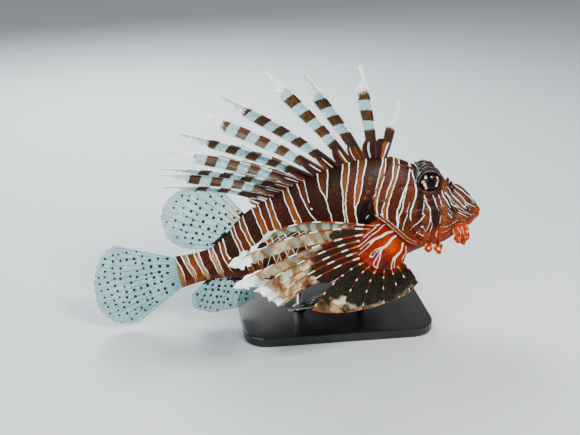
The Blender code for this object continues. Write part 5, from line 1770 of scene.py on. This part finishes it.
def spotted_film_material(name, clear):
    """Clear cast film, faintly blue, with brown clouds. The rods in it are a little denser."""
    made, node, above, tone, pad, edge = start_material(name, "above", "tone", "pad", "edge")
    streak = noise(node, 2.0)
    cloud = noise(node, 16.0, 2.0, 0.5)
    uneven = node(MINUS, streak, 0.5)
    colour = node(BLEND, node(EDGE, cloud, 0.42, 0.62), "#4f9aa2", "#80b8ba")
    stain = node(TIMES, node(EDGE, streak, 0.50, 0.66), node(EDGE, cloud, 0.50, 0.62))
    colour = node(BLEND, node(TIMES, stain, 0.6), colour, "#7c6a4c")
    # The flank's dark bands end in short rounded lobes on the foot of the fin, beside a pale patch.
    tall = node(PLUS, above, node(TIMES, uneven, 5.0))
    foot = node(TIMES, node(EDGE, tall, 3.4, 2.6), node(EDGE, tone, 0.4, 0.3))
    patch = node(EDGE, node(PLUS, pad, node(TIMES, uneven, 1.3)), 0.35, 0.85, 0, 0.85)
    colour = node(BLEND, patch, colour, "#cfc6a4")
    colour = node(BLEND, foot, colour, "#1d0e07")
    solid = node(PLUS, node(TIMES, stain, 0.2), clear)
    for cover in (patch, node(TIMES, foot, 0.97), node(EDGE, edge, 0.9, 0.3, 0, 0.5)):
        solid = node(LARGER, solid, cover)
    return finish_material(made, colour, 0.4, (0.25, 0.0004, streak), coat=0.08, specular=0.25,
                           alpha=solid)


spotted_film = spotted_film_material("clear_blue_film", 0.34)
spotted_rod = spotted_film_material("clear_blue_rod", 0.55)
black_dot = mottled_material("black_enamel_dot", 1.0, "#060506", "#15100e", coat=0.1)
dot_shape = one_dot()
# Each fan: rays, gap between rows of dots, gap between dots, and the middle of its pale patch.
for name, node, roots, tips, count, row_gap, dot_gap, pad_at in (
        ("soft_dorsal", "soft_dorsal_fin", SOFT_ROOTS, SOFT_TIPS, 12, 6.2, 5.6, (1.6, 9.0)),
        ("tail", "caudal_fin", CAUDAL_ROOTS, CAUDAL_TIPS, 15, 6.0, 5.0, None),
        ("anal", "anal_fin", ANAL_ROOTS, ANAL_TIPS, 10, 5.4, 4.6, None)):
    fan = (roots, tips, count, NO_BOW, FAN_RIPPLE)
    grid, numbers = fan_grid(*fan, FAN_EDGE_NOTCH)
    root = along(roots, np.linspace(0, 1, grid.shape[1]))
    tone = np.ones(len(root)) if name == "tail" else band_tone(root[:, 0], root[:, 2])
    pad = 0.0
    if pad_at:
        off = np.hypot((numbers["ray"] - pad_at[0]) / 1.8, (numbers["reach"] - pad_at[1]) / 7.5)
        pad = 1 - ramp(off, 0.5, 1.5)
    numbers.update(tone=tone, above=above_body(grid), pad=pad)
    finish_piece(membrane(name + "_film", [(grid, numbers)], spotted_film), "spotted_fin", node)
    paths, values = fan_rays(*fan)
    own_tone = [tone[int(ray * FAN_COLUMNS)] for ray in values["ray"]]
    values.update(above=[above_body(path) for path in paths], tone=own_tone,
                  edge=[9.0] * len(paths), pad=[0.0] * len(paths))
    finish_piece(rods(name + "_rays", paths, values, spotted_rod, 6), "spotted_fin", node)
    dotted = dots(name + "_dots", grid, numbers, row_gap, dot_gap, 400 + count, black_dot)
    finish_piece(dotted, "spotted_fin", node)

# %% Pelvic fins


def pelvic_film_material():
    """Dark airbrushed film with pale dots."""
    made, node, share, edge = start_material("dark_cast_film", "share", "edge")
    streak = noise(node, 2.2)
    dark = node(BLEND, node(EDGE, streak, 0.4, 0.62), "#180d09", "#42200f")
    colour = node(BLEND, node(EDGE, share, 0.30, 0.05), dark, "#7e2a0f")
    colour = node(BLEND, node(EDGE, edge, 1.6, 0.8), colour, "#b9b59c")
    return finish_material(made, colour, 0.42, (0.3, 0.0005, streak), coat=0.05, alpha=0.96)


pelvic_film = pelvic_film_material()
pale_dot = mottled_material("pale_enamel_dot", 1.0, "#c4cdc4", "#dfe4dc", coat=0.1)
# Roots, tips, number of rays, bow and ripple of the fan.
PELVIC_FAN = (PELVIC_ROOTS, PELVIC_TIPS, 6, (0, 0, -3), 0.6)
PELVIC_NOTCH = 0.05
for name, turn_side in (("right", np.asarray), ("left", mirrored)):
    grid, numbers = fan_grid(*PELVIC_FAN, PELVIC_NOTCH)
    grid = turn_side(grid)
    node = "pelvic_fin_" + name
    finish_piece(membrane("pelvic_film_" + name, [(grid, numbers)], pelvic_film), "banded_fin", node)
    dotted = dots("pelvic_dots_" + name, grid, numbers, 12.0, 9.0, 431, pale_dot)
    finish_piece(dotted, "banded_fin", node)
    paths, values = fan_rays(*PELVIC_FAN)
    values["edge"] = [(1 - shares) * 90 for shares in values["share"]]
    values["ray"] = [ray + FIRST_FAN_RAY for ray in values["ray"]]
    paths = [turn_side(path) for path in paths]
    pelvic_rods = rods("pelvic_rays_" + name, paths, values, fin_rod, 7, 1.5)
    finish_piece(pelvic_rods, "banded_fin", node)
bpy.data.objects.remove(dot_shape)

# %% [markdown]
# ## Frilled flaps and small spines of the head
# Leafy flaps of skin hang from the jaw and stand on the snout, and rows of short spines follow the
# ridges of the head. The flaps are small curved grids with a wavy outline. The spines are rods.

# %% Flaps
# Each flap: its middle line, and its half widths from root to tip.
FLAPS = [
    ([(20, -9.5, -2), (21, -12, -8.5), (19.5, -12.8, -14.5), (18.6, -12.2, -20.5),
      (17.6, -11.4, -25)], [2, 2.8, 3.6, 3, 0.8]),
    ([(17.4, -9.4, -3), (16, -12.4, -7.5), (15.6, -13.8, -12), (16.4, -13.4, -17.5)],
     [1.6, 2.4, 2.6, 0.8]),
    ([(22.4, -10.5, -4), (23.4, -13, -8), (22.8, -14.2, -12.5), (21.2, -13.8, -17)],
     [1.6, 2.3, 2.5, 0.8]),
    ([(38, -11, -17.5), (38.8, -12.6, -21.5), (38.6, -13, -27.5)], [1.4, 4, 1.4]),
    ([(46.4, -13.4, -14), (47.2, -15.2, -18), (47, -15.6, -22.4)], [1.4, 3.5, 2.2]),
    ([(18.5, -11.4, -8), (15.8, -13.6, -12.5), (14.8, -13.9, -17), (15.4, -13, -20.5)],
     [1.4, 2.2, 2.3, 0.6]),
    ([(21.5, -12.2, -9), (23.4, -13.9, -14), (23.4, -13.9, -18), (22.4, -13, -21.5)],
     [1.4, 2.1, 2.2, 0.6]),
    ([(22.6, -3.4, 23), (21.3, -4, 26.2), (20.6, -4.4, 28.8)], [1, 1.4, 0.5]),
]
# The two tabs with a pale spot, and the dark flap on the snout, by their place in the list.
TAB_FLAPS = (3, 4)
SNOUT_FLAP = 7
FLAP_THICKNESS = 0.5
FLAP_ROWS = 36
FLAP_COLUMNS = 11


def flap_grid(line, half_widths, seed):
    shares = np.linspace(0, 1, FLAP_ROWS)
    middle = along(line, shares)
    reach = along([(value,) for value in half_widths], shares)[:, 0]
    frill = [1 + wander(FLAP_ROWS, 0.42, 13, seed + k) * ramp(shares, 0.1, 0.3) for k in (0, 3)]
    rounding = np.sqrt(np.clip(1 - ramp(shares, 0.86, 1.03), 0.03, 1))
    across = np.linspace(-1, 1, FLAP_COLUMNS)
    width = np.where(across < 0, (reach * frill[0])[:, None], (reach * frill[1])[:, None])
    width = width * rounding[:, None]
    grid = middle[:, None, :].repeat(FLAP_COLUMNS, axis=1)
    grid[:, :, 0] += across * width
    grid[:, :, 1] += np.abs(across) ** 1.5 * width * 0.25
    grid[:, :, 1] += wander(FLAP_ROWS, 0.8, 6, seed + 1)[:, None] * across
    grid[:, :, 2] += wander(FLAP_ROWS, 0.4, 5, seed + 2)[:, None] * across
    return grid, {"share": shares[:, None], "across": across}


def flap_material():
    """Soft cast rubber, hand painted: orange with pale edges and a pale middle spot."""
    made, node, share, across, dark, tab = start_material(
        "painted_soft_flap", "share", "across", "dark", "tab")
    blotch = noise(node, 3.0)
    colour = node(BLEND, node(EDGE, blotch, 0.40, 0.60), "#8a2409", "#b9450f")
    colour = node(BLEND, node(EDGE, blotch, 0.64, 0.70), colour, "#d9cdb4")
    far = node(PLUS, node(ABSOLUTE, across), node(TIMES, blotch, 0.3))
    colour = node(BLEND, node(EDGE, far, 0.92, 1.06, 0, 0.8), colour, "#dcd9cb")
    colour = node(BLEND, node(EDGE, share, 0.9, 1.0, 0, 0.7), colour, "#d8d6c6")
    upward = node(TIMES, node(MINUS, share, 0.58), 2.6)
    middle = node(PLUS, node(TIMES, across, across), node(TIMES, upward, upward))
    colour = node(BLEND, node(TIMES, node(EDGE, middle, 0.10, 0.03), tab), colour, "#e4dccb")
    colour = node(BLEND, dark, colour, "#3a1f12")
    return finish_material(made, colour, 0.5, (0.4, 0.0005, blotch), specular=0.3)


flap_grids = []
for k, (line, half_widths) in enumerate(FLAPS):
    for side in (1, -1):
        grid, numbers = flap_grid(line, half_widths, 600 + 10 * k + side)
        numbers.update(dark=float(k == SNOUT_FLAP), tab=float(k in TAB_FLAPS))
        flap_grids.append((grid if side > 0 else mirrored(grid), numbers))
flaps = membrane("head_flaps", flap_grids, flap_material(), FLAP_THICKNESS)
finish_piece(flaps, "head_skin", "head")

# %% Small spines
# Foot, tip and radius of each spine.
HEAD_SPINES = [
    ((31.5, -8, 41), (34, -8.6, 46.4), 1.5),
    ((37, -8, 43.2), (39.8, -8.6, 48.6), 1.5),
    ((42.8, -8, 43.4), (46.8, -8.6, 48.4), 1.5),
    ((51, -6.4, 46.4), (56.2, -7.2, 51.6), 1.5),
    ((58, -7.4, 50.4), (63.4, -8.2, 55), 1.5),
    ((25, -12.6, 12), (28.4, -17, 13.4), 1.3),
    ((36, -15.4, 13.6), (39.8, -20, 15), 1.3),
    ((47, -17, 14.8), (51, -22.2, 16.2), 1.4),
    ((60, -18.8, 16.4), (64.6, -24.2, 17.8), 1.5),
    ((78, -19.6, 31), (82.4, -21.4, 31.3), 1.3),
    ((55, -18.6, -2), (60.4, -21.4, -3.6), 1.5),
    ((51, -17.2, -9), (55.6, -19.6, -12), 1.5),
    ((45, -14.6, -14.4), (48, -16.4, -18.6), 1.4),
    ((38, -11.8, -17.6), (39.2, -13.2, -22.4), 1.3),
]


def small_spine_material():
    """Painted resin horn: brown at the foot and ivory at the point."""
    made, node, share = start_material("painted_resin_horn", "share")
    speck = noise(node, 0.9, 2.0)
    colour = node(BLEND, node(EDGE, speck, 0.4, 0.6), "#2c130a", "#5e2c14")
    colour = node(BLEND, node(EDGE, share, 0.6, 1.0), colour, "#8d7458")
    return finish_material(made, colour, 0.4, coat=0.2)


spine_paths = []
small_values = {"radius_mm": [], "share": []}
for foot, tip, radius in HEAD_SPINES:
    shares = np.linspace(0, 1, 9)
    run = np.subtract(tip, foot)
    bow = np.cross(run, (0, 1, 0)) * 0.05
    for side in (1, -1):
        line = ray_line(foot - run * 0.35, tip - run * 0.25, bow, shares)
        spine_paths.append(line if side > 0 else mirrored(line))
        small_values["radius_mm"].append(radius * 0.85 * (1 - shares ** 1.3) + 0.06)
        small_values["share"].append(shares)
small_spines = rods("head_spines", spine_paths, small_values, small_spine_material(), 8)
finish_piece(small_spines, "head_skin", "head")

# %% [markdown]
# ## Stand
# The base is a plate whose solid already has its true shape, so it only gets its black satin
# lacquer. The rods are brushed steel: smooth turned rods with a low collar replace the solids.

# %% Stand


def lacquer_material():
    """Sprayed satin lacquer on an acrylic plate: even black with a faint orange peel."""
    made, node = start_material("satin_black_lacquer")
    peel = noise(node, 0.9, 2.0, 0.5)
    dust = noise(node, 22.0)
    colour = node(BLEND, node(EDGE, dust, 0.35, 0.75), "#121214", "#1d1d20")
    return finish_material(made, colour, 0.34, (0.12, 0.0003, peel), coat=0.5, coat_roughness=0.18)


def steel_material():
    """Stainless steel rod, brushed round in a lathe: fine rings across the rod."""
    made, node = start_material("brushed_stainless_steel")
    rings = noise(node, 3.0, 4.0, stretch=(1, 1, 14))
    rough = node("ShaderNodeMapRange", rings, 0.0, 1.0, 0.22, 0.40)
    colour = node(BLEND, rings, "#a5a7a8", "#c9cbcc")
    return finish_material(made, colour, rough, (0.15, 0.0002, rings), metallic=1.0)


# The collar at a rod's foot: how much wider than the rod, at each height, in millimetres.
ROD_COLLAR = [(2.8, 0.0), (2.8, 1.4), (1.8, 2.4), (0.4, 2.6), (0.0, 3.0)]
ROD_SIDES = 64
ROD_WELD = 0.000001

base_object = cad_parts["stand_base"]
base_object.data.materials.clear()
base_object.data.materials.append(lacquer_material())
steel = steel_material()
for name in ("stand_rod_front", "stand_rod_rear"):
    low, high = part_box(name)
    middle_x = (low.x + high.x) / 2
    radius = (high.x - low.x) / 2
    height = high.z - low.z
    collar = [(radius + wider * MM, up * MM) for wider, up in ROD_COLLAR]
    profile = [(0.0, 0.0)] + collar + [(radius, height), (0.0, height)]
    turned, faces = turned_form(profile, ROD_SIDES, (middle_x, 0.0, low.z))
    rod = mesh_object("turned_" + name, turned, faces, None, steel)
    face_outwards(rod, ROD_WELD)
    finish_piece(rod, "stand_steel", name)

# %% [markdown]
# ## Floor
# A plain pale floor, which is not part of the object, with a faint grain so that the light shows.

# %% Floor


def floor_material():
    """Matt painted board, pale grey."""
    made, node = start_material("matt_floor_paint")
    grain = noise(node, 3.0)
    return finish_material(made, node(BLEND, grain, "#bcc2c5", "#c8cdd0"), 0.75)


FLOOR_HALF = 3.0
corners = [(x * FLOOR_HALF, y * FLOOR_HALF, 0) for x, y in ((-1, -1), (1, -1), (1, 1), (-1, 1))]
floor = mesh_object("floor", corners, [(0, 1, 2, 3)], None, floor_material())
floor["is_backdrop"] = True

# %% Size of the dressed model
seen_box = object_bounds()
for axis, letter in enumerate("xyz"):
    grown = [1000 * (cad_box[0][axis] - seen_box[0][axis]), 1000 * (seen_box[1][axis] - cad_box[1][axis])]
    print(letter, "grows by %.2f and %.2f mm" % tuple(grown))
